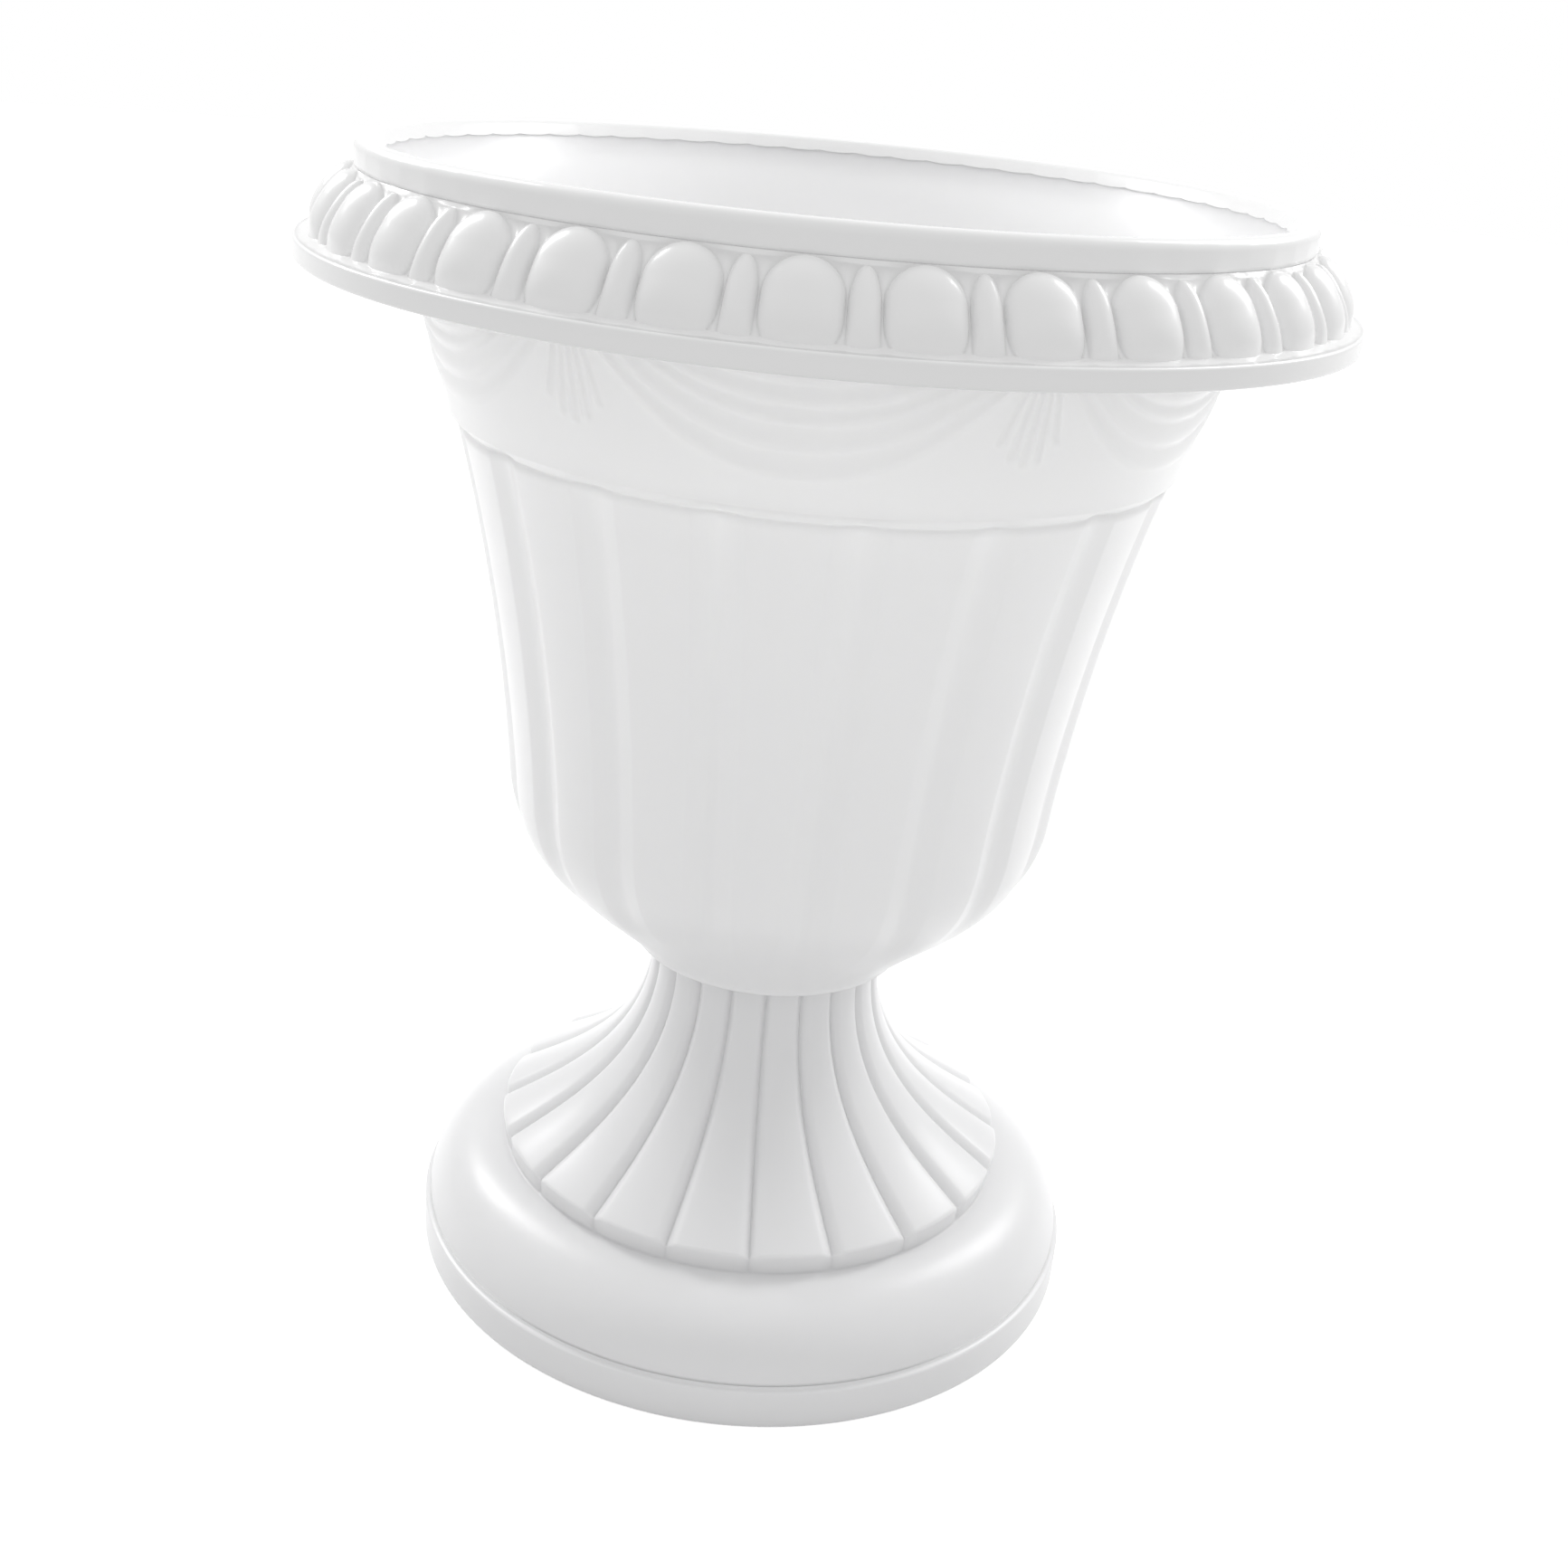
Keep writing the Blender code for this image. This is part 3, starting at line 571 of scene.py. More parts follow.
def zinc_plate(name, tint):
    """Bright zinc plate: a spangled colour and roughness and fine turning marks."""
    material, tree, shader = shaded(name, Metallic=1.0)
    spangle, marks = noises(tree, (700.0, 3.0, 0.5), (2600.0, 1.0, 0.5))
    tinted(tree, shader, spangle, tint, 0.82, 1.0)
    glossed(tree, shader, spangle, To_Min=0.22, To_Max=0.45)
    bumped(tree, shader, (marks, 0.2, 0.00005))
    return material


def soft_rubber(name, tint):
    """Matt rubber with a fine sandblasted grain and a dusty tone."""
    material, tree, shader = shaded(name, Roughness=0.62, IOR=1.52)
    grain, dust = noises(tree, (2200.0, 2.0, 0.5), (240.0, 3.0, 0.5))
    tinted(tree, shader, dust, tint, 0.85, 1.1)
    bumped(tree, shader, (grain, 0.3, 0.0001))
    return material


def wall_radius(sizes, height):
    """Outer radius of the wall above the ledge, for sizes that hold the bowl, frieze and rim.

    It is a cone, foot + (top - foot) * (height - ledge) / frieze height, and near the lip flares out
    by flare * s^2, with s running from 0 at the mouth's drop to 1 at the lip's foot.
    """
    bowl, frieze, rim = sizes
    foot = bowl.side_top_radius + frieze.ledge_overhang
    ledge = bowl_high.z - rim.drop - frieze.height
    start = bowl_high.z - rim.mouth_drop
    s = np.maximum(height - start, 0.0) / (rim.mouth_drop - rim.lip_thickness)
    return foot + (frieze.top_radius - foot) * (height - ledge) / frieze.height + rim.mouth_flare * s ** 2


def side_outline(bowl, belly, top, count):
    """The side from the ledge down: belly radius + run * (k s + (1 - k) s^2), s falling from 1 to 0."""
    s = np.linspace(1.0, 0.0, count)
    sweep = bowl.side_straightness * s + (1 - bowl.side_straightness) * s ** 2
    radius = bowl.belly_radius + (bowl.side_top_radius - bowl.belly_radius) * sweep
    return np.stack((radius, belly + (top - belly) * s), axis=-1)


def belly_outline(bowl, belly, under, count):
    """The round underside: a cubic from the side down and in to the foot."""
    side = (bowl.belly_radius, belly)
    side_handle = (bowl.belly_radius - bowl.belly_lean, belly - bowl.belly_run)
    foot = (bowl.foot_radius, under + bowl.foot_round)
    foot_handle = (foot[0] + bowl.foot_run, foot[1] + bowl.foot_run)
    return outline_bezier(side, side_handle, foot_handle, foot, count)


# Width over which a swag's ends fade out, and the share of a strand's width and height at its top
SWAG_FADE = math.radians(2.0)
STRAND_TOP_WIDTH = 0.45
STRAND_TOP_HEIGHT = 0.5
# Lower edges of a swag's folds: height above the ledge at the middle, and rise at the fold reach
FOLD_FEET = (0.0075, 0.0137, 0.0197, 0.0239, 0.0285, 0.0340)
FOLD_RISES = (0.0129, 0.0117, 0.0112, 0.0098, 0.0095, 0.0095)
FOLD_POWER = 2.24
FOLD_SKEW = 0.62


def swag_lift(frieze, away, above):
    """Lift of the draped folds at an angle from a swag's middle and a height above the ledge.

    Fold k's lower edge hangs at foot_k + rise_k * (angle / reach)^p. Between one edge and the next,
    with v the share of the way up, the lift is sin(pi * v^q), steep below and easy above.
    """
    sag = (np.abs(away) / frieze.fold_reach) ** FOLD_POWER
    edges = [foot + rise * sag for foot, rise in zip(FOLD_FEET, FOLD_RISES)]
    lift = np.zeros(np.broadcast(away, above).shape)
    for low, high in zip(edges, edges[1:]):
        v = (above - low) / np.maximum(high - low, 1e-5)
        inside = (v > 0) & (v < 1)
        fold = np.sin(math.pi * np.clip(v, 0, 1) ** FOLD_SKEW)
        lift = np.where(inside, frieze.fold_height * fold, lift)
    ending = np.clip((frieze.swag_end + SWAG_FADE / 2 - np.abs(away)) / SWAG_FADE, 0, 1)
    return lift * ending


def tassel_lift(frieze, away, above, radius):
    """Lift of a tassel at an angle from its middle and a height above the ledge.

    Strand j's middle runs from j * top spacing to j * foot spacing. It is a half-round ridge,
    sqrt(1 - (distance / width)^2), that widens downwards and ends in a half circle.
    """
    lift = np.zeros(np.broadcast(away, above).shape)
    half = (frieze.tassel_strands - 1) / 2
    for strand in np.arange(frieze.tassel_strands) - half:
        foot = frieze.tassel_foot + frieze.tassel_arch * strand ** 2
        fall = np.clip((frieze.tassel_top - above) / (frieze.tassel_top - foot), 0, 1)
        middle = strand * (frieze.strand_top + (frieze.strand_foot - frieze.strand_top) * fall)
        width = frieze.strand_width * (STRAND_TOP_WIDTH + (1 - STRAND_TOP_WIDTH) * fall)
        past_end = np.maximum(foot + width - above, 0.0)
        distance = np.hypot((away - middle) * radius, past_end)
        ridge = np.sqrt(np.clip(1 - (distance / width) ** 2, 0, 1))
        height = STRAND_TOP_HEIGHT + (1 - STRAND_TOP_HEIGHT) * fall
        lift = np.maximum(lift, frieze.strand_height * ridge * height)
    return lift


def panelled(bowl, radius, start, times=1):
    """Column angles of the panelled wall, and the lifts of its valleys and of its panels' crowns.

    The valley is a V, -(1 - d) with d = sqrt((distance / half width)^2 + bluntness), and each panel's
    middle is crowned by 1 - x^2, with x running from -1 to 1 across it.
    """
    angles = marked(bowl.panels, times * VALLEY_COLUMNS, times * PANEL_COLUMNS, bowl.valley_width / radius,
                    start, CROWD)
    away = np.abs(wrap(angles - start, math.tau / bowl.panels))
    distance = away * radius / bowl.valley_width
    valley = -np.clip(1 - np.sqrt(distance ** 2 + VALLEY_BLUNT), 0, 1)
    return angles, valley, 1 - (1 - away / (math.pi / bowl.panels)) ** 2


def valley_fade(bowl, height):
    """Share of the panels' crown at a height, and of the valleys' depth, which keeps a rest at the foot."""
    low = bowl_low.z + bowl.foot_run
    high = bowl_low.z + bowl.belly_height - bowl.belly_run / 2
    fade = np.clip((height - low) / (high - low), 0, 1)
    return fade, bowl.valley_foot + (1 - bowl.valley_foot) * fade


# Rows and columns of the bowl's body, and the angle either side of a tassel's middle that it takes
FRIEZE_ROWS = 52
TASSEL_COLUMNS = 24
SWAG_COLUMNS = 72
TASSEL_ANGLE = math.radians(6.0)
VALLEY_COLUMNS = 5
PANEL_COLUMNS = 10
# Bluntness of a valley's V, and how the columns crowd towards it
VALLEY_BLUNT = 0.01
CROWD = 0.75
# Height above the ledge over which the frieze's columns run over into the panels'
COLUMN_FADE = 0.006
# Step from the crease down to the side
CREASE_STEP = 0.0002
# Nearer the axis than this many foot radii, the inner wall's columns keep their angles
INSIDE_START = 1.4
# Inside, the valleys start the first above the floor, grow over the second, and end below the ledge
# over the third
INSIDE_LIFT_OFF = 0.001
INSIDE_RISE = 0.012
INSIDE_END = 0.003
# Hidden top of the wall: how far it runs up behind the lip, and its two rows as (radius, height) from
# the inner wall's end and from the start of the frieze's rows
LAP_RISE = 0.0008
LAP_INNER = (0.0006, 0.0)
LAP_OUTER = (-0.0002, 0.0015)
# The frieze's hidden rows end the first above the rim's lower edge, and the row at the floor's edge lies
# the second from the wall
HIDDEN_START = 0.001
FLOOR_EDGE = 0.002


def wrap(angles, pitch):
    """Angles brought into the range from -pitch / 2 to pitch / 2."""
    return (angles + pitch / 2) % pitch - pitch / 2


class PLANTER_OT_bowl(bpy.types.Operator):
    """Make the bowl's body with its panels, frieze, swags and tassels, and its drilled floor"""

    bl_idname = "planter.bowl"
    bl_label = "Bowl"

    def execute(self, context):
        sizes = settings(context, "bowl", "frieze", "rim")
        bowl, frieze, rim = sizes
        fasteners, finishes = settings(context, "fasteners", "finishes")
        # The bowl's tint is painted lighter than the pedestal's: a painted glow for light through its thin
        # wall
        plastic = moulded_plastic("bowl_plastic", finishes.bowl, finishes.bowl_glow, finishes)

        under = bowl_low.z
        lip_top = bowl_high.z
        floor_top = under + bowl.recess_depth + bowl.floor_thickness
        rim_edge = lip_top - rim.drop
        ledge = rim_edge - frieze.height
        belly = under + bowl.belly_height
        side_top = ledge - frieze.ledge_drop
        hidden_top = lip_top - rim.lip_height - rim.wall
        start = bowl.turn - math.pi / frieze.swags

        heights = np.append(np.linspace(hidden_top, rim_edge + HIDDEN_START, 6),
                            np.linspace(rim_edge, ledge + frieze.ledge_round, FRIEZE_ROWS))[:, None]
        radii = wall_radius(sizes, heights)
        tasselled = marked(frieze.swags, TASSEL_COLUMNS, SWAG_COLUMNS, TASSEL_ANGLE, start)
        side_angles, valley, crown = panelled(bowl, bowl.side_top_radius, start, 2)
        fade_top = ledge + COLUMN_FADE
        blend = np.clip((fade_top - heights) / (fade_top - ledge), 0, 1)
        angles = tasselled * (1 - blend) + side_angles * blend
        sector = math.tau / frieze.swags
        from_swag = wrap(angles - bowl.turn, sector)
        from_tassel = wrap(angles - bowl.turn - sector / 2, sector)
        lift = swag_lift(frieze, from_swag, heights - ledge)
        lift = lift + tassel_lift(frieze, from_tassel, heights - ledge, radii)
        frieze_grid = turned(angles, radii + lift, heights)

        frieze_foot = [(wall_radius(sizes, height), height)
                       for height in (ledge + 2 * frieze.ledge_round, ledge)]
        crease = (bowl.side_top_radius - frieze.crease, side_top)
        edge = rounded([*frieze_foot, crease], frieze.ledge_round, 5)[1:]
        edge = np.append(edge, [(crease[0], side_top - CREASE_STEP)], axis=0)
        edge_lift = bowl.valley_depth * valley + bowl.panel_crown * crown
        follows = np.append(np.zeros(len(edge) - 2), (1.0, 1.0))[:, None]
        edge_grid = turned(side_angles, edge[:, :1] + follows * edge_lift, edge[:, 1:])

        body = np.concatenate((side_outline(bowl, belly, side_top - 2 * CREASE_STEP, 40),
                               belly_outline(bowl, belly, under, 40)[1:]))
        radius, height = body[:, :1], body[:, 1:]
        angles, valley, crown = panelled(bowl, radius, start)
        fade, depth = valley_fade(bowl, height)
        depth = bowl.valley_depth * depth * np.clip((height - under) / bowl.foot_run * 2, 0, 1)
        body_grid = turned(angles, radius + depth * valley + bowl.panel_crown * crown * fade, height)

        foot_edge = outline_arc((bowl.foot_radius - bowl.foot_round, under + bowl.foot_round),
                                bowl.foot_round, bowl.foot_round, -10, -90, 6)
        seam = bowl.floor_disc + SEAM
        columns = angles.shape[1]
        bottom_grid = plain(np.append(foot_edge, [(seam, under)], axis=0), columns, start)

        heights = np.append(np.linspace(lip_top - rim.lip_thickness + LAP_RISE, lip_top - rim.mouth_drop, 9),
                            np.linspace(rim_edge, ledge, 4))
        wall_line = np.concatenate((np.stack((wall_radius(sizes, heights), heights), axis=-1),
                                    side_outline(bowl, belly, side_top, 10),
                                    belly_outline(bowl, belly, under, 22)[1:]))
        inner = cut_below(inset(wall_line, bowl.wall), floor_top)
        floor_edge = outline_line((seam, floor_top), (inner[-1][0] - FLOOR_EDGE, floor_top), 3)
        inner = np.concatenate((floor_edge, inner[::-1]))
        radius, height = inner[:, :1], inner[:, 1:]
        outer_radius = np.maximum(radius + bowl.wall, bowl.foot_radius * INSIDE_START)
        angles, valley, crown = panelled(bowl, outer_radius, start)
        rise = np.clip((height - floor_top - INSIDE_LIFT_OFF) / INSIDE_RISE, 0, 1)
        end = np.clip((ledge - height) / INSIDE_END, 0, 1)
        depth = bowl.valley_inside * valley_fade(bowl, height)[1] * rise * end
        inner_grid = turned(angles, radius + depth * valley, height)
        hidden = np.array((wall_radius(sizes, hidden_top + LAP_OUTER[1]), hidden_top + LAP_OUTER[1]))
        top = np.array([inner[-1] + LAP_INNER, hidden + (LAP_OUTER[0], 0.0)])

        grids = [inner_grid, plain(top, columns, start), frieze_grid, edge_grid, body_grid, bottom_grid]
        ringed_mesh("bowl_body", grids, True, plastic, HOME, "bowl_plastic", "bowl")

        recess = under + bowl.recess_depth
        hole = fasteners.bolt_radius + fasteners.clearance
        disc = rounded([(hole, recess), (bowl.recess_radius, recess), (bowl.recess_radius, under),
                        (bowl.floor_disc, under), (bowl.floor_disc, floor_top), (hole, floor_top)],
                       HIDDEN_ROUND, 4)
        floor = ringed_mesh("bowl_floor", [plain(disc, RING_COLUMNS)], True, plastic, HOME, "bowl_plastic",
                            "bowl")
        drill(floor, fasteners.plug_radius + fasteners.clearance, under, floor_top)
        return {"FINISHED"}


# Columns of an egg and of a dart, and rows of the band
EGG_COLUMNS = 18
DART_COLUMNS = 12
BAND_ROWS = 44
# Rounding between the lip's face and the band
FACE_ROUND = 0.0014
# The lip's hidden foot laps the bowl's wall by the first, stands off it by the second, and is as wide
# as the third
RIM_LAP = 0.0012
LAP_OFF = 0.0003
LAP_WIDTH = 0.0008
# Step for the slope of the wall
SLOPE_STEP = 0.0005
# The skirt's inside: rounding, drop of its upper corner in walls, and how far it sinks into the frieze
SKIRT_ROUND = 0.0008
SKIRT_DROP = 1.2
SKIRT_SINK = 0.0004
# The band's last row but one, how its rows crowd to the top, and least widths at the round tops' points
LAST_ROW = 0.985
ROW_CROWD = 1.25
EGG_POINT = 0.03
DART_POINT = 0.05
# Shares of the way down a cut foot and across the flange at which rows lie
CUT_ROWS = (0.06, 0.5, 0.94, 1.0)
FLANGE_ROWS = (0.04, 0.3, 0.6, 1.0)


def round_top(share_down, start, dome):
    """Share of its full width and height that an egg or a dart has: sqrt(1 - (1 - t)^2) from its top."""
    t = np.clip((share_down - start) / (dome - start), 0, 1)
    return np.sqrt(1 - (1 - t) ** 2)


def band_relief(rim, share_down):
    """Column marks across one pitch and the band's lift there, for each share of its drop.

    The dart's crest is at mark 0 and the egg's middle at 0.5. Columns crowd towards both edges: at
    0.5 - w cos(pi k / n) for the egg of half width w, and at d sin(pi k / n) for the dart of half
    width d. Across both, the lift is crown * round top * sqrt(1 - x^2), x from -1 to 1. With p the
    share of the way from the round top to the foot, both fall by 1 - fall p^3, and the egg's width by
    1 - taper p^4, which rounds the corners of its foot.
    """
    egg_top = round_top(share_down, rim.egg_start, rim.egg_dome)
    dart_top = round_top(share_down, rim.dart_start, rim.dart_dome)
    past = np.clip((share_down - rim.egg_dome) / (1 - rim.egg_dome), 0, 1)
    fall = 1 - rim.egg_fall * past ** 3
    egg_half = rim.egg_width / 2 * np.maximum(egg_top * (1 - rim.egg_taper * past ** 4), EGG_POINT)
    dart_half = rim.dart_width / 2 * np.maximum(dart_top, DART_POINT)
    k = np.arange(EGG_COLUMNS + 1)[None]
    egg = 0.5 - egg_half * np.cos(math.pi * k / EGG_COLUMNS)
    side = dart_half * np.sin(math.pi * np.arange(DART_COLUMNS // 2)[None] / (DART_COLUMNS - 2))
    marks = np.concatenate((side, egg, 1 - side[:, :0:-1]), axis=1)
    across_egg = np.abs(marks - 0.5) / egg_half
    across_dart = np.minimum(marks, 1 - marks) / dart_half
    egg = rim.egg_crown * egg_top * fall * np.sqrt(np.clip(1 - across_egg ** 2, 0, 1))
    dart = rim.dart_crown * dart_top * fall * np.sqrt(np.clip(1 - across_dart ** 2, 0, 1))
    return marks, np.maximum(egg, dart)


class PLANTER_OT_rim(bpy.types.Operator):
    """Make the rim: rounded lip, egg-and-dart band and overhanging flange"""

    bl_idname = "planter.rim"
    bl_label = "Rim"

    def execute(self, context):
        sizes = settings(context, "bowl", "frieze", "rim")
        bowl, _, rim = sizes
        plastic = bpy.data.materials["bowl_plastic"]
        lip_top = bowl_high.z
        radius = bowl_high.x
        rim_edge = lip_top - rim.drop
        flange_top = rim_edge + rim.flange_height
        pitch = math.tau / rim.eggs

        half_lip = rim.lip_thickness / 2
        lip = outline_arc((rim.lip_radius - half_lip, lip_top - half_lip), half_lip, half_lip,
                          math.degrees(rim.lip_start), 0, 15)
        lip_foot = lip_top - rim.lip_thickness
        lean = (wall_radius(sizes, lip_foot) - wall_radius(sizes, lip_foot - SLOPE_STEP)) / SLOPE_STEP
        steep = math.hypot(1.0, lean)
        inner_face = wall_radius(sizes, lip_foot) - bowl.wall / steep
        inner_foot = lip_foot + bowl.wall * lean / steep
        lap = (inner_face - RIM_LAP * lean / steep + LAP_OFF, inner_foot - RIM_LAP / steep)
        band_top = np.array((rim.lip_radius - rim.lip_cove, lip_top - rim.lip_height - rim.lip_cove / 2))
        band_foot = np.array((radius - rim.flange_width, flange_top + rim.flange_slope))
        face = rounded([lip[-1], (rim.lip_radius, lip_top - rim.lip_height), band_top], FACE_ROUND, 6)[1:-1]
        outline = np.concatenate(([lap, (inner_face, inner_foot)], lip, face))

        along = band_foot - band_top
        drop = np.linalg.norm(along)
        outward = np.array((-along[1], along[0])) / drop
        s = np.append(np.linspace(0.0, LAST_ROW, BAND_ROWS - 1) ** ROW_CROWD, 1.0)[:, None]
        marks, lift = band_relief(rim, s)
        base = band_top + along * s - outward * rim.band_hollow * 4 * s * (1 - s)
        steeper = 4 * rim.band_hollow * (1 - 2 * s) / drop
        facing = outward * drop + along * steeper
        facing /= np.linalg.norm(facing, axis=1, keepdims=True)
        starts = bowl.turn - pitch / 2 + pitch * np.arange(rim.eggs)
        angles = (starts[None, :, None] + pitch * marks[:, None, :]).reshape(BAND_ROWS, -1)
        lift = np.tile(lift, (1, rim.eggs))
        band_grid = turned(angles, base[:, :1] + lift * facing[:, :1], base[:, 1:] + lift * facing[:, 1:])

        edge_start = radius - rim.edge_round
        slope = rim.flange_slope / (edge_start - band_foot[0])

        def flange_height(reach):
            return band_foot[1] - slope * (reach - band_foot[0])

        foot_radius = band_foot[0] + lift[-1:] * facing[-1, 0]
        foot_height = band_foot[1] + lift[-1:] * facing[-1, 1]
        t = np.array(CUT_ROWS)[:, None]
        cut_radius = foot_radius + DRAFT * t
        cut_grid = turned(angles[-1:], cut_radius, foot_height * (1 - t) + flange_height(foot_radius) * t)
        t = np.array(FLANGE_ROWS)[:, None]
        reach = cut_radius[-1:] * (1 - t) + edge_start * t
        flange_grid = turned(angles[-1:], reach, flange_height(reach))

        skirt_radius = radius - rim.wall
        edge = rounded([(edge_start, flange_top + DRAFT), (radius, flange_top), (radius - DRAFT, rim_edge),
                        (skirt_radius, rim_edge)], rim.edge_round, 7)[1:-1]
        hidden_top = lip_top - rim.lip_height - rim.wall
        skirt = rounded([(skirt_radius, rim_edge), (skirt_radius, flange_top - rim.wall),
                         (band_foot[0] - rim.wall * outward[0], band_foot[1] - rim.wall * SKIRT_DROP),
                         (wall_radius(sizes, hidden_top) - SKIRT_SINK, hidden_top)], SKIRT_ROUND, 5)
        skirt = np.append(skirt, [(inner_face + LAP_WIDTH, inner_foot - RIM_LAP)], axis=0)
        if angles.shape[1] % 2:
            raise RuntimeError("the rim needs an even number of columns")
        half_angles = angles[-1:, ::2]
        grids = [swept(angles[:1], outline), band_grid, cut_grid, flange_grid, swept(half_angles, edge),
                 swept(half_angles, skirt)]
        ringed_mesh("bowl_rim", grids, True, plastic, HOME, "bowl_plastic", "bowl")
        return {"FINISHED"}


# Columns of half a groove and of a panel between two
GROOVE_COLUMNS = 8
FLUTE_COLUMNS = 14
# The ledge over the plinth: rounding, start above it, height of the plinth's face left at each edge.
# Then the height of the inner edge over the ground, and the neck's small edge as (radius, height)
LEDGE_ROUND = 0.0007
LEDGE_RISE = 0.0008
PLINTH_EDGE = 0.0004
INNER_EDGE = 0.0006
SHOULDER = np.array(((-0.0010, 0.0), (-0.0004, 0.0), (-0.0001, -0.0001), (0.0, -0.0003)))


def stem_outline(stem, neck_top, panel_end, foot_radius, count):
    """The stem from its neck down to the panels' ends, as a cubic."""
    foot = (foot_radius + stem.panel_overhang, panel_end)
    neck = (stem.neck_radius, neck_top)
    neck_handle = (stem.neck_radius - stem.neck_waist, neck_top - stem.neck_run)
    foot_handle = (foot[0] - stem.flare_run, panel_end + stem.flare_rise)
    return outline_bezier(neck, neck_handle, foot_handle, foot, count)


def flute_lift(stem, away, radius, width, down):
    """Lift of the fluted stem at an angle from a groove's middle and a share of the way down.

    The groove is -depth * (1 - distance / half width)^2, the depth growing from a share of itself
    at the neck, and each panel is crowned by 1 - x^2.
    """
    distance = np.abs(away) * radius / width
    depth = stem.groove_depth * (stem.groove_neck + (1 - stem.groove_neck) * down)
    groove = -depth * np.clip(1 - distance, 0, 1) ** 2
    across = 1 - np.abs(away) / (math.pi / stem.panels)
    return groove + stem.panel_crown * (1 - across ** 2)


class PLANTER_OT_pedestal(bpy.types.Operator):
    """Make the hollow pedestal with its fluted stem, torus and plinth, and its drilled plate"""

    bl_idname = "planter.pedestal"
    bl_label = "Pedestal"

    def execute(self, context):
        stem, fasteners, finishes = settings(context, "pedestal", "fasteners", "finishes")
        # The pedestal's tint is painted darker than the bowl's: painted shade
        plastic = moulded_plastic("pedestal_plastic", finishes.pedestal, finishes.pedestal_glow, finishes)

        plate_top = base_high.z
        neck_top = plate_top - stem.spigot_height
        plate_under = plate_top - stem.plate
        plate_step = plate_under - stem.spigot_height
        plinth_radius = base_high.x
        torus_top = stem.plinth_height + stem.torus_height
        panel_end = torus_top + stem.panel_step
        foot_radius = plinth_radius - stem.plinth_ledge - stem.torus_reach
        seat = stem.spigot_radius + SEAM

        shaft = stem_outline(stem, neck_top, panel_end, foot_radius, 60)
        radius, height = shaft[:, :1], shaft[:, 1:]
        down = (neck_top - height) / (neck_top - panel_end)
        width = stem.groove_width + stem.groove_spread * down ** 2
        angles = marked(stem.panels, GROOVE_COLUMNS, FLUTE_COLUMNS, width / radius, stem.turn)
        away = wrap(angles - stem.turn, math.tau / stem.panels)
        lift = flute_lift(stem, away, radius, width, down)
        along = np.gradient(shaft, axis=0)
        along /= np.linalg.norm(along, axis=1, keepdims=True)
        shaft_grid = turned(angles, radius - lift * along[:, 1:], height + lift * along[:, :1])[1:-2]
        shoulder_grid = turned(angles[:1], radius[0] + lift[:1] + SHOULDER[:, :1], neck_top + SHOULDER[:, 1:])

        end = rounded([tuple(shaft[-3]), tuple(shaft[-1]), (foot_radius, torus_top)], stem.end_round, 8)[1:]
        end = np.concatenate((end[:-1], outline_line(end[-2], end[-1], 7)[1:]))
        fall = np.clip((panel_end - end[:, 1:]) / (panel_end - torus_top), 0, 1)
        end_lift = lift[-1:] * (1 - fall) ** 0.5
        drop_grid = turned(angles[-1:], end[:, :1] - end_lift * along[-1, 1],
                           end[:, 1:] + end_lift * along[-1, 0])

        torus = outline_arc((foot_radius, stem.plinth_height), stem.torus_reach, stem.torus_height, 88, 2, 30)
        torus_foot = plinth_radius - stem.plinth_ledge
        plinth = rounded([(torus_foot, stem.plinth_height + LEDGE_RISE),
                          (torus_foot + DRAFT, stem.plinth_height),
                          (plinth_radius, stem.plinth_height - PLINTH_EDGE),
                          (plinth_radius, stem.plinth_round + PLINTH_EDGE)], LEDGE_ROUND, 5)
        foot_arc = outline_arc((plinth_radius - stem.plinth_round, stem.plinth_round), stem.plinth_round,
                               stem.plinth_round, 0, -90, 6)
        inner_edge = plinth_radius - stem.plinth_round - stem.wall
        outer = np.concatenate((torus, plinth, foot_arc, [(inner_edge, 0.0)]))

        inner_torus = outline_arc((foot_radius, stem.plinth_height), stem.torus_reach - stem.wall,
                                  stem.torus_height - stem.wall, 0, 90, 14)
        line = stem_outline(stem, neck_top, panel_end, foot_radius, 24)
        inner_stem = cut_above(inset(line, stem.wall + stem.groove_depth / 2), plate_step)
        inner = np.concatenate(([(inner_edge, INNER_EDGE)], inner_torus, inner_stem[::-1],
                                [(seat, plate_step), (seat, neck_top - PLINTH_EDGE), (seat, neck_top)]))
        outer_grid, inner_grid = (plain(line, angles.shape[1] // 2, stem.turn) for line in (outer, inner))
        grids = [shoulder_grid, shaft_grid, drop_grid, outer_grid, inner_grid]
        ringed_mesh("pedestal_shell", grids, True, plastic, HOME, "pedestal_plastic", "pedestal")

        hole = fasteners.bolt_radius + fasteners.plate_margin
        inner_spigot = stem.spigot_radius - stem.wall
        plate = rounded([(hole, plate_under), (inner_spigot, plate_under), (inner_spigot, plate_step),
                         (stem.spigot_radius, plate_step), (stem.spigot_radius, plate_top),
                         (hole, plate_top)], HIDDEN_ROUND, 4)
        made = ringed_mesh("pedestal_plate", [plain(plate, RING_COLUMNS)], True, plastic, HOME,
                           "pedestal_plastic", "pedestal")
        drill(made, fasteners.plug_radius + fasteners.drain_margin, plate_step, plate_top)
        return {"FINISHED"}


def plug_places():
    """Centres of the drain plugs, read from their CAD nodes."""
    places = []
    for number in (1, 2, 3):
        low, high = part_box(f"drain_plug_{number}")
        places.append(((low.x + high.x) / 2, (low.y + high.y) / 2))
    return places


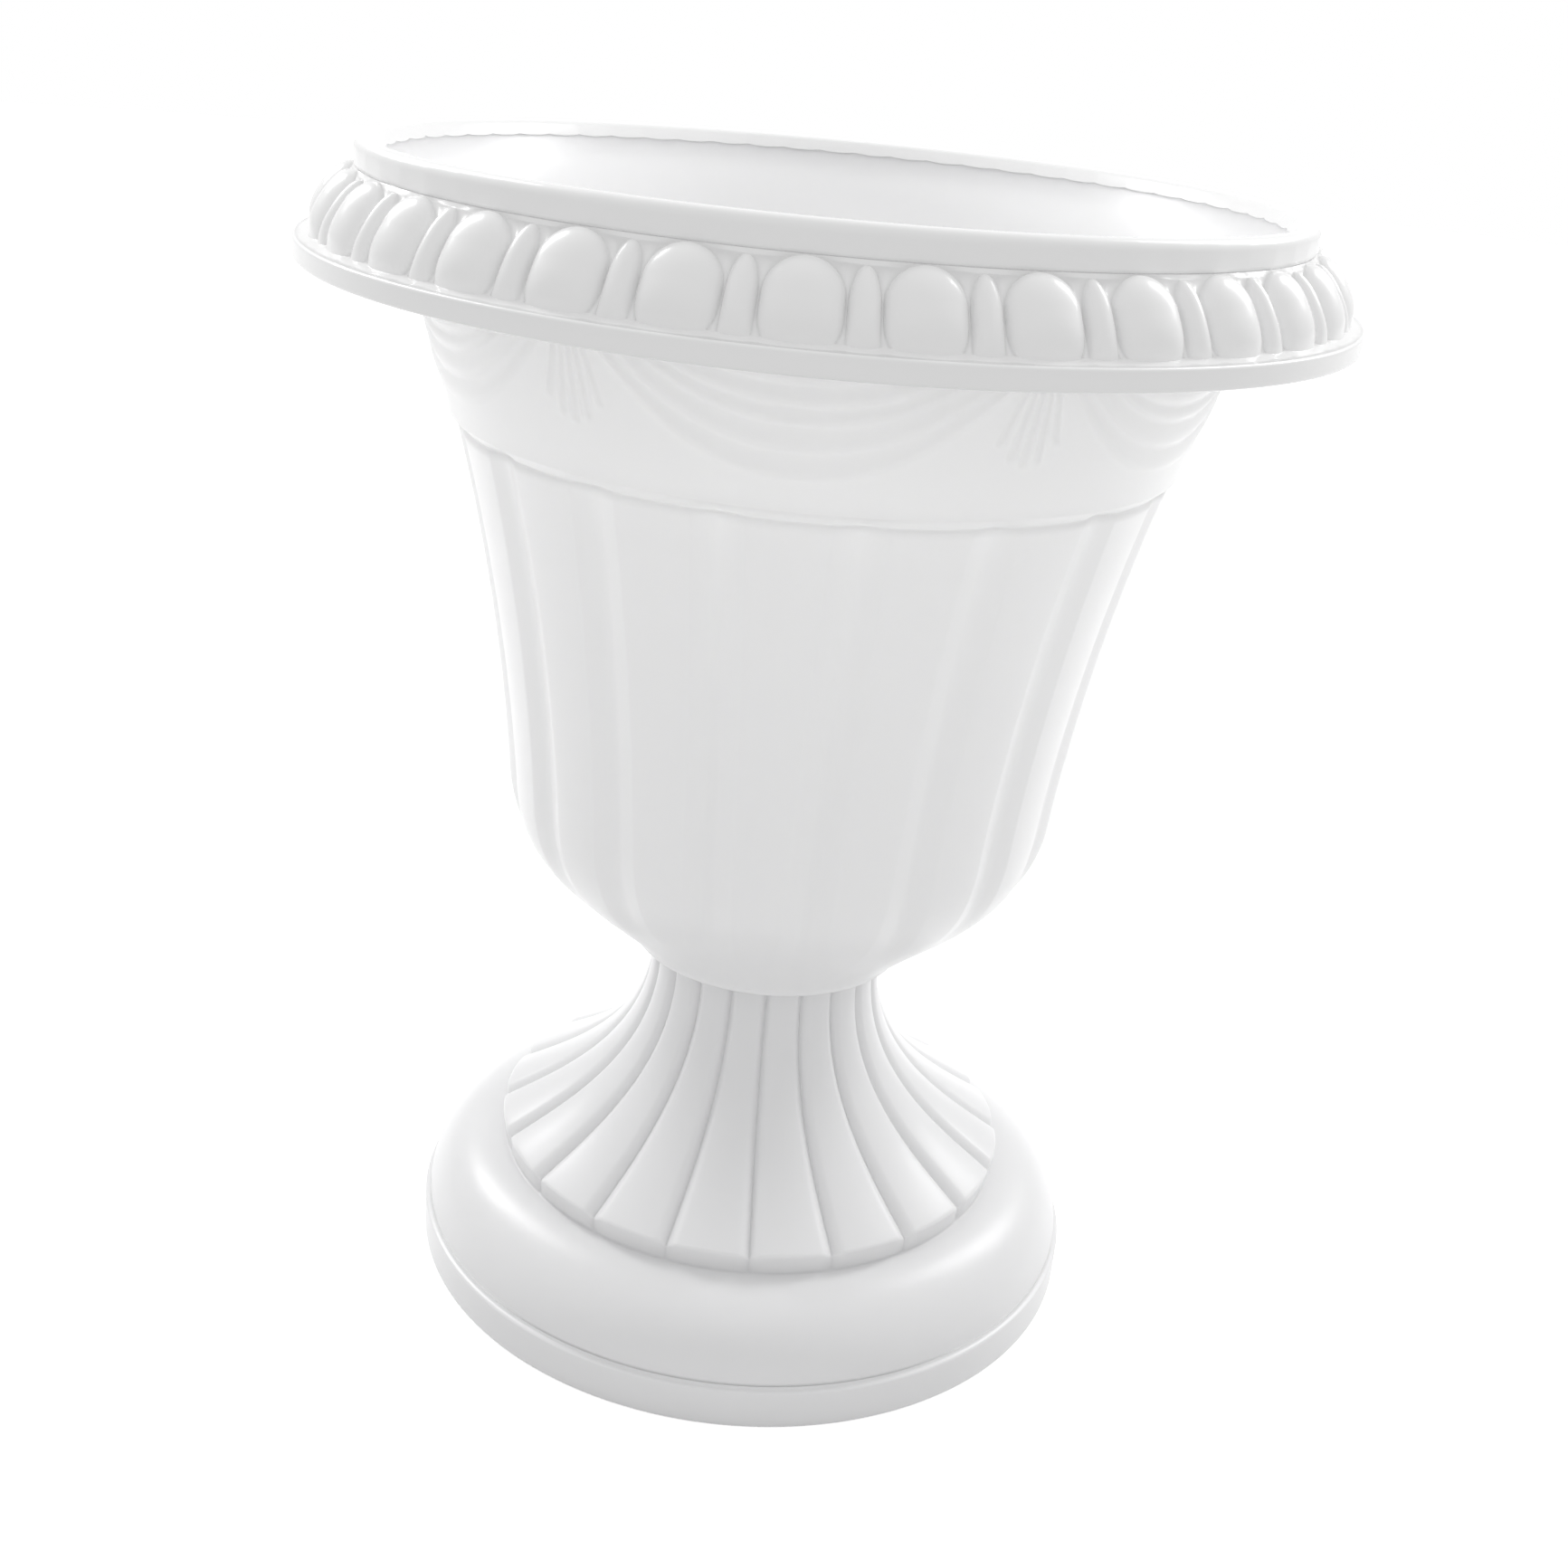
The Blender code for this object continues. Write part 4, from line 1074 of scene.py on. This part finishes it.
def superellipse_slab(half_x, half_y, half_z, power):
    """A rounded slab: points of a sphere's grid with each cosine and sine raised to 2 / power."""
    across = np.linspace(0, math.tau, 48, endpoint=False)[None]
    down = np.linspace(math.pi / 2, -math.pi / 2, 25)[1:-1, None]

    def soft(value):
        return np.sign(value) * np.abs(value) ** (2 / power)

    x = half_x * soft(np.cos(down)) * soft(np.cos(across))
    y = half_y * soft(np.cos(down)) * soft(np.sin(across))
    z = half_z * soft(np.sin(down)) * np.ones_like(across)
    return np.stack((x, y, z), axis=-1)


# Starts of the closed outlines, out from the hole's edge
WASHER_START = 0.0005
HUB_START = 0.001
# Bolt: height and slope of the head's chamfer, inset of its flat top, bevel under it, the neck's inset and
# height, the bevel of the tip, and the rows of each turn of the thread
CHAMFER_HEIGHT = 0.0009
CHAMFER_SLOPE = 1.7
HEAD_INSET = 0.0006
HEAD_BEVEL = 0.0003
NECK_INSET = 0.0003
NECK_HEIGHT = 0.0015
TIP_BEVEL = 0.0008
THREAD_ROWS = 8
# Wing nut: radii and height of its hub, and its wings' half length and height, lean, place and squareness
HUB_TOP_RADIUS = 0.0072
HUB_FOOT_RADIUS = 0.0056
HUB_HEIGHT = 0.0085
WING_HALVES = (0.0067, 0.0041)
WING_LEAN = math.radians(-42)
WING_PLACE = (0.0102, -0.0006)
WING_POWER = 3.2


class PLANTER_OT_fasteners(bpy.types.Operator):
    """Make the bolt, its washers and the wing nut"""

    bl_idname = "planter.fasteners"
    bl_label = "Fasteners"

    def execute(self, context):
        sizes, finishes = settings(context, "fasteners", "finishes")
        zinc = zinc_plate("zinc_plate", finishes.zinc)
        rubber = soft_rubber("seal_rubber", finishes.seal)
        hole = sizes.bolt_radius + sizes.clearance

        for name, finish, slot in (("head_washer", zinc, "zinc_steel"), ("nut_washer", zinc, "zinc_steel"),
                                   ("seal_washer", rubber, "seal_rubber")):
            low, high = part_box(name)
            ring = closed_outline([(hole, low.z), (high.x, low.z), (high.x, high.z), (hole, high.z)],
                                  WASHER_START, sizes.washer_round, 4)
            ringed_mesh(f"{name}_ring", [plain(ring, RING_COLUMNS)], True, finish, HOME, slot, name)

        low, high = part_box("centre_bolt")
        head_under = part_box("head_washer")[1].z + sizes.clearance
        angles = math.tau * np.arange(RING_COLUMNS)[None] / RING_COLUMNS
        flat = sizes.head_flats / 2 / np.cos(wrap(angles - math.pi / 6, math.pi / 3))
        corner = sizes.head_flats / 2 / math.cos(math.pi / 6)
        heights = np.linspace(head_under, high.z - 0.0001, 12)[:, None]
        chamfer = corner - np.maximum(heights - (high.z - CHAMFER_HEIGHT), 0) * CHAMFER_SLOPE
        foot = corner - np.maximum(head_under + HEAD_BEVEL - heights, 0)
        side = turned(angles, np.minimum(np.minimum(flat, chamfer), foot), heights)
        inner = sizes.head_flats / 2 - HEAD_INSET
        crown = turned(angles, np.array([[inner], [inner * 0.6], [inner * 0.2]]), np.full((3, 1), high.z))
        neck = turned(angles, np.full((2, 1), sizes.bolt_radius - NECK_INSET),
                      np.array([[head_under - NECK_HEIGHT], [head_under]]))
        ringed_mesh("bolt_head", [neck, side, crown], False, zinc, HOME, "zinc_steel", "centre_bolt")

        rows = int((head_under - low.z) / sizes.thread_pitch * THREAD_ROWS)
        heights = np.linspace(low.z, head_under - 0.001, rows)[:, None]
        turn = (heights / sizes.thread_pitch - angles / math.tau) % 1.0
        thread = sizes.bolt_radius - sizes.thread_depth * (1 - np.abs(2 * turn - 1))
        tip = sizes.bolt_radius - TIP_BEVEL + (heights - low.z)
        shank = turned(angles, np.minimum(thread, tip), heights)
        ringed_mesh("bolt_thread", [shank], False, zinc, HOME, "zinc_steel", "centre_bolt")

        low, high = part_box("wing_nut")
        hub_low = high.z - HUB_HEIGHT
        hub = closed_outline([(hole, high.z), (HUB_TOP_RADIUS, high.z), (HUB_FOOT_RADIUS, hub_low),
                              (hole, hub_low)], HUB_START, sizes.nut_round, 5)
        ringed_mesh("nut_hub", [plain(hub, RING_COLUMNS)], True, zinc, HOME, "zinc_steel", "wing_nut")
        half_length, half_height = WING_HALVES
        slab = superellipse_slab(half_length, sizes.wing_thickness / 2, half_height, WING_POWER)
        x, y, z = np.moveaxis(slab, -1, 0)
        for side, name in ((-1, "nut_wing_left"), (1, "nut_wing_right")):
            lean = WING_LEAN * side
            leaning = (x * math.cos(lean) - z * math.sin(lean), y, x * math.sin(lean) + z * math.cos(lean))
            place = (side * WING_PLACE[0], 0, (low.z + high.z) / 2 + WING_PLACE[1])
            wing = np.stack(leaning, axis=-1) + np.array(place)
            ringed_mesh(name, [wing], False, zinc, HOME, "zinc_steel", "wing_nut")
        return {"FINISHED"}


# Plugs: height of the head, how far the tab sinks into it, taper of the tip as (radius, height), radius
# at which the faces across the axis start, and squareness of the tab
PLUG_HEAD = 0.0018
TAB_SINK = 0.001
PLUG_TAPER = (0.0004, 0.0012)
PLUG_AXIS = 0.0004
TAB_POWER = 2.8


class PLANTER_OT_plugs(bpy.types.Operator):
    """Make the three push-in drain plugs, each on its own body"""

    bl_idname = "planter.plugs"
    bl_label = "Drain plugs"

    def execute(self, context):
        sizes, finishes = settings(context, "fasteners", "finishes")
        rubber = soft_rubber("plug_rubber", finishes.plug)
        body_of_node = {name: body for body, names in frame["record"]["behaviour"]["bodies"].items()
                        for name in names}
        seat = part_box("seal_washer")[0].z
        head_top = seat + PLUG_HEAD
        for number, (x, y) in enumerate(plug_places(), start=1):
            name = f"drain_plug_{number}"
            body = body_of_node[name]
            low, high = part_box(name)
            head = (high.x - low.x) / 2
            outline = rounded([(PLUG_AXIS, low.z), (sizes.plug_radius - PLUG_TAPER[0], low.z),
                               (sizes.plug_radius, low.z + PLUG_TAPER[1]), (sizes.plug_radius, seat),
                               (head, seat), (head, head_top), (PLUG_AXIS, head_top)], sizes.plug_round, 6)
            grid = plain(outline, PLUG_COLUMNS) + np.array((x, y, 0.0))
            ringed_mesh(f"{name}_stopper", [grid], False, rubber, body, "plug_rubber", name)
            middle = (head_top - TAB_SINK + high.z) / 2
            tab = superellipse_slab(sizes.tab_half, sizes.tab_thickness / 2, high.z - middle, TAB_POWER)
            tab = tab + np.array((x, y, middle))
            ringed_mesh(f"{name}_pull_tab", [tab], False, rubber, body, "plug_rubber", name)
        return {"FINISHED"}


# Area lamps: name, place, width and height, and the stage setting that holds the power
LAMPS = (
    ("lamp_left", (-0.75, 0.54, 0.88), (0.22, 0.6), "side"),
    ("lamp_right", (0.76, 0.52, 0.88), (0.22, 0.6), "side"),
    ("lamp_top", (0.0, 0.1, 1.3), (0.8, 0.8), "top"),
)
LAMP_AIM = Vector((0, 0, 0.16))
FLOOR_RADIUS = 4.0
FLOOR_GLOW = 0.75


class PLANTER_OT_stage(bpy.types.Operator):
    """Set up the floor, the lamps, the sky and the camera"""

    bl_idname = "planter.stage"
    bl_label = "Stage"

    def execute(self, context):
        stage = context.scene.planter_stage
        make_floor(stage.floor)
        make_sky(stage.sky)
        for name, place, size, power in LAMPS:
            lamp = bpy.data.lights.new(name, "AREA")
            lamp.shape = "RECTANGLE"
            lamp.size, lamp.size_y = size
            lamp.energy = getattr(stage, power)
            made = linked(name, lamp)
            made.location = place
            made.rotation_euler = (LAMP_AIM - made.location).to_track_quat("-Z", "Y").to_euler()

        camera = bpy.data.cameras.new("camera")
        camera.lens = stage.lens
        camera.sensor_width = 36.0
        camera.clip_start = 0.01
        made = linked("camera", camera)
        forward = Vector((math.sin(stage.yaw) * math.cos(stage.pitch),
                          math.cos(stage.yaw) * math.cos(stage.pitch), -math.sin(stage.pitch)))
        level = Vector((math.cos(stage.yaw), -math.sin(stage.yaw), 0.0))
        upright = level.cross(forward)
        right = math.cos(stage.roll) * level + math.sin(stage.roll) * upright
        up = -math.sin(stage.roll) * level + math.cos(stage.roll) * upright
        made.matrix_world = Matrix.Translation((0.0, -stage.distance, stage.height)) @ Matrix(
            (right, up, -forward)).transposed().to_4x4()
        context.scene.camera = made
        context.scene.view_settings.view_transform = "Standard"
        return {"FINISHED"}


def seen_directly(tree):
    """1 for a ray from the camera or by way of a reflection or glass, and 0 for one that gathers light."""
    rays = node(tree, "ShaderNodeLightPath", (-1300, 0))
    total = rays.outputs["Is Camera Ray"]
    for place, kind in (((-1000, 100), "Is Glossy Ray"), ((-700, 100), "Is Transmission Ray")):
        both = node(tree, "ShaderNodeMath", place)
        both.operation = "MAXIMUM"
        tree.links.new(total, both.inputs[0])
        tree.links.new(rays.outputs[kind], both.inputs[1])
        total = both.outputs[0]
    return total


def make_floor(tint):
    """A wide round floor that the camera sees a little brighter than it is lit, shadow and all."""
    angles = math.tau * np.arange(FLOOR_COLUMNS) / FLOOR_COLUMNS
    points = turned(angles, FLOOR_RADIUS, 0.0)
    mesh = bpy.data.meshes.new("floor")
    mesh.from_pydata(points.tolist(), [], [list(range(FLOOR_COLUMNS))])
    made = linked("floor", mesh)
    material, tree, shader = shaded("floor", Base_Color=(*tint, 1.0), Roughness=0.8, Specular_IOR_Level=0.1)
    glow = node(tree, "ShaderNodeEmission", (0, -300), Color=(FLOOR_GLOW, FLOOR_GLOW, FLOOR_GLOW, 1.0))
    tree.links.new(seen_directly(tree), glow.inputs["Strength"])
    both = node(tree, "ShaderNodeAddShader", (300, 0))
    tree.links.new(shader.outputs[0], both.inputs[0])
    tree.links.new(glow.outputs[0], both.inputs[1])
    tree.links.new(both.outputs[0], tree.nodes["Material Output"].inputs["Surface"])
    mesh.materials.append(material)


def make_sky(strength):
    """An even sky that the camera, reflections and glass see as white."""
    world = bpy.data.worlds.new("sky")
    bpy.context.scene.world = world
    world.use_nodes = True
    tree = world.node_tree
    background = tree.nodes["Background"]
    background.inputs["Color"].default_value = (1.0, 1.0, 1.0, 1.0)
    seen = node(tree, "ShaderNodeMapRange", (-300, 0), To_Min=strength, To_Max=1.0)
    tree.links.new(seen_directly(tree), seen.inputs["Value"])
    tree.links.new(seen.outputs["Result"], background.inputs["Strength"])


class PLANTER_PT_panel(bpy.types.Panel):
    """Buttons that build the planter piece by piece"""

    bl_label = "Urn planter"
    bl_idname = "PLANTER_PT_panel"
    bl_space_type = "VIEW_3D"
    bl_region_type = "UI"
    bl_category = "Planter"

    def draw(self, context):
        for operator in OPERATORS:
            self.layout.operator(operator.bl_idname)


GROUPS = {
    "planter_bowl": BowlSizes,
    "planter_frieze": FriezeSizes,
    "planter_rim": RimSizes,
    "planter_pedestal": PedestalSizes,
    "planter_fasteners": FastenerSizes,
    "planter_finishes": Finishes,
    "planter_stage": StageSettings,
}
OPERATORS = (PLANTER_OT_bowl, PLANTER_OT_rim, PLANTER_OT_pedestal, PLANTER_OT_fasteners, PLANTER_OT_plugs,
             PLANTER_OT_stage)


def register():
    for name, group in GROUPS.items():
        bpy.utils.register_class(group)
        setattr(bpy.types.Scene, name, PointerProperty(type=group))
    for part in (*OPERATORS, PLANTER_PT_panel):
        bpy.utils.register_class(part)


def unregister():
    for part in (PLANTER_PT_panel, *reversed(OPERATORS)):
        bpy.utils.unregister_class(part)
    for name, group in reversed(GROUPS.items()):
        delattr(bpy.types.Scene, name)
        bpy.utils.unregister_class(group)


def main():
    register()
    bpy.ops.planter.bowl()
    bpy.ops.planter.rim()
    bpy.ops.planter.pedestal()
    bpy.ops.planter.fasteners()
    bpy.ops.planter.plugs()
    bpy.ops.planter.stage()


if __name__ == "__main__":
    main()
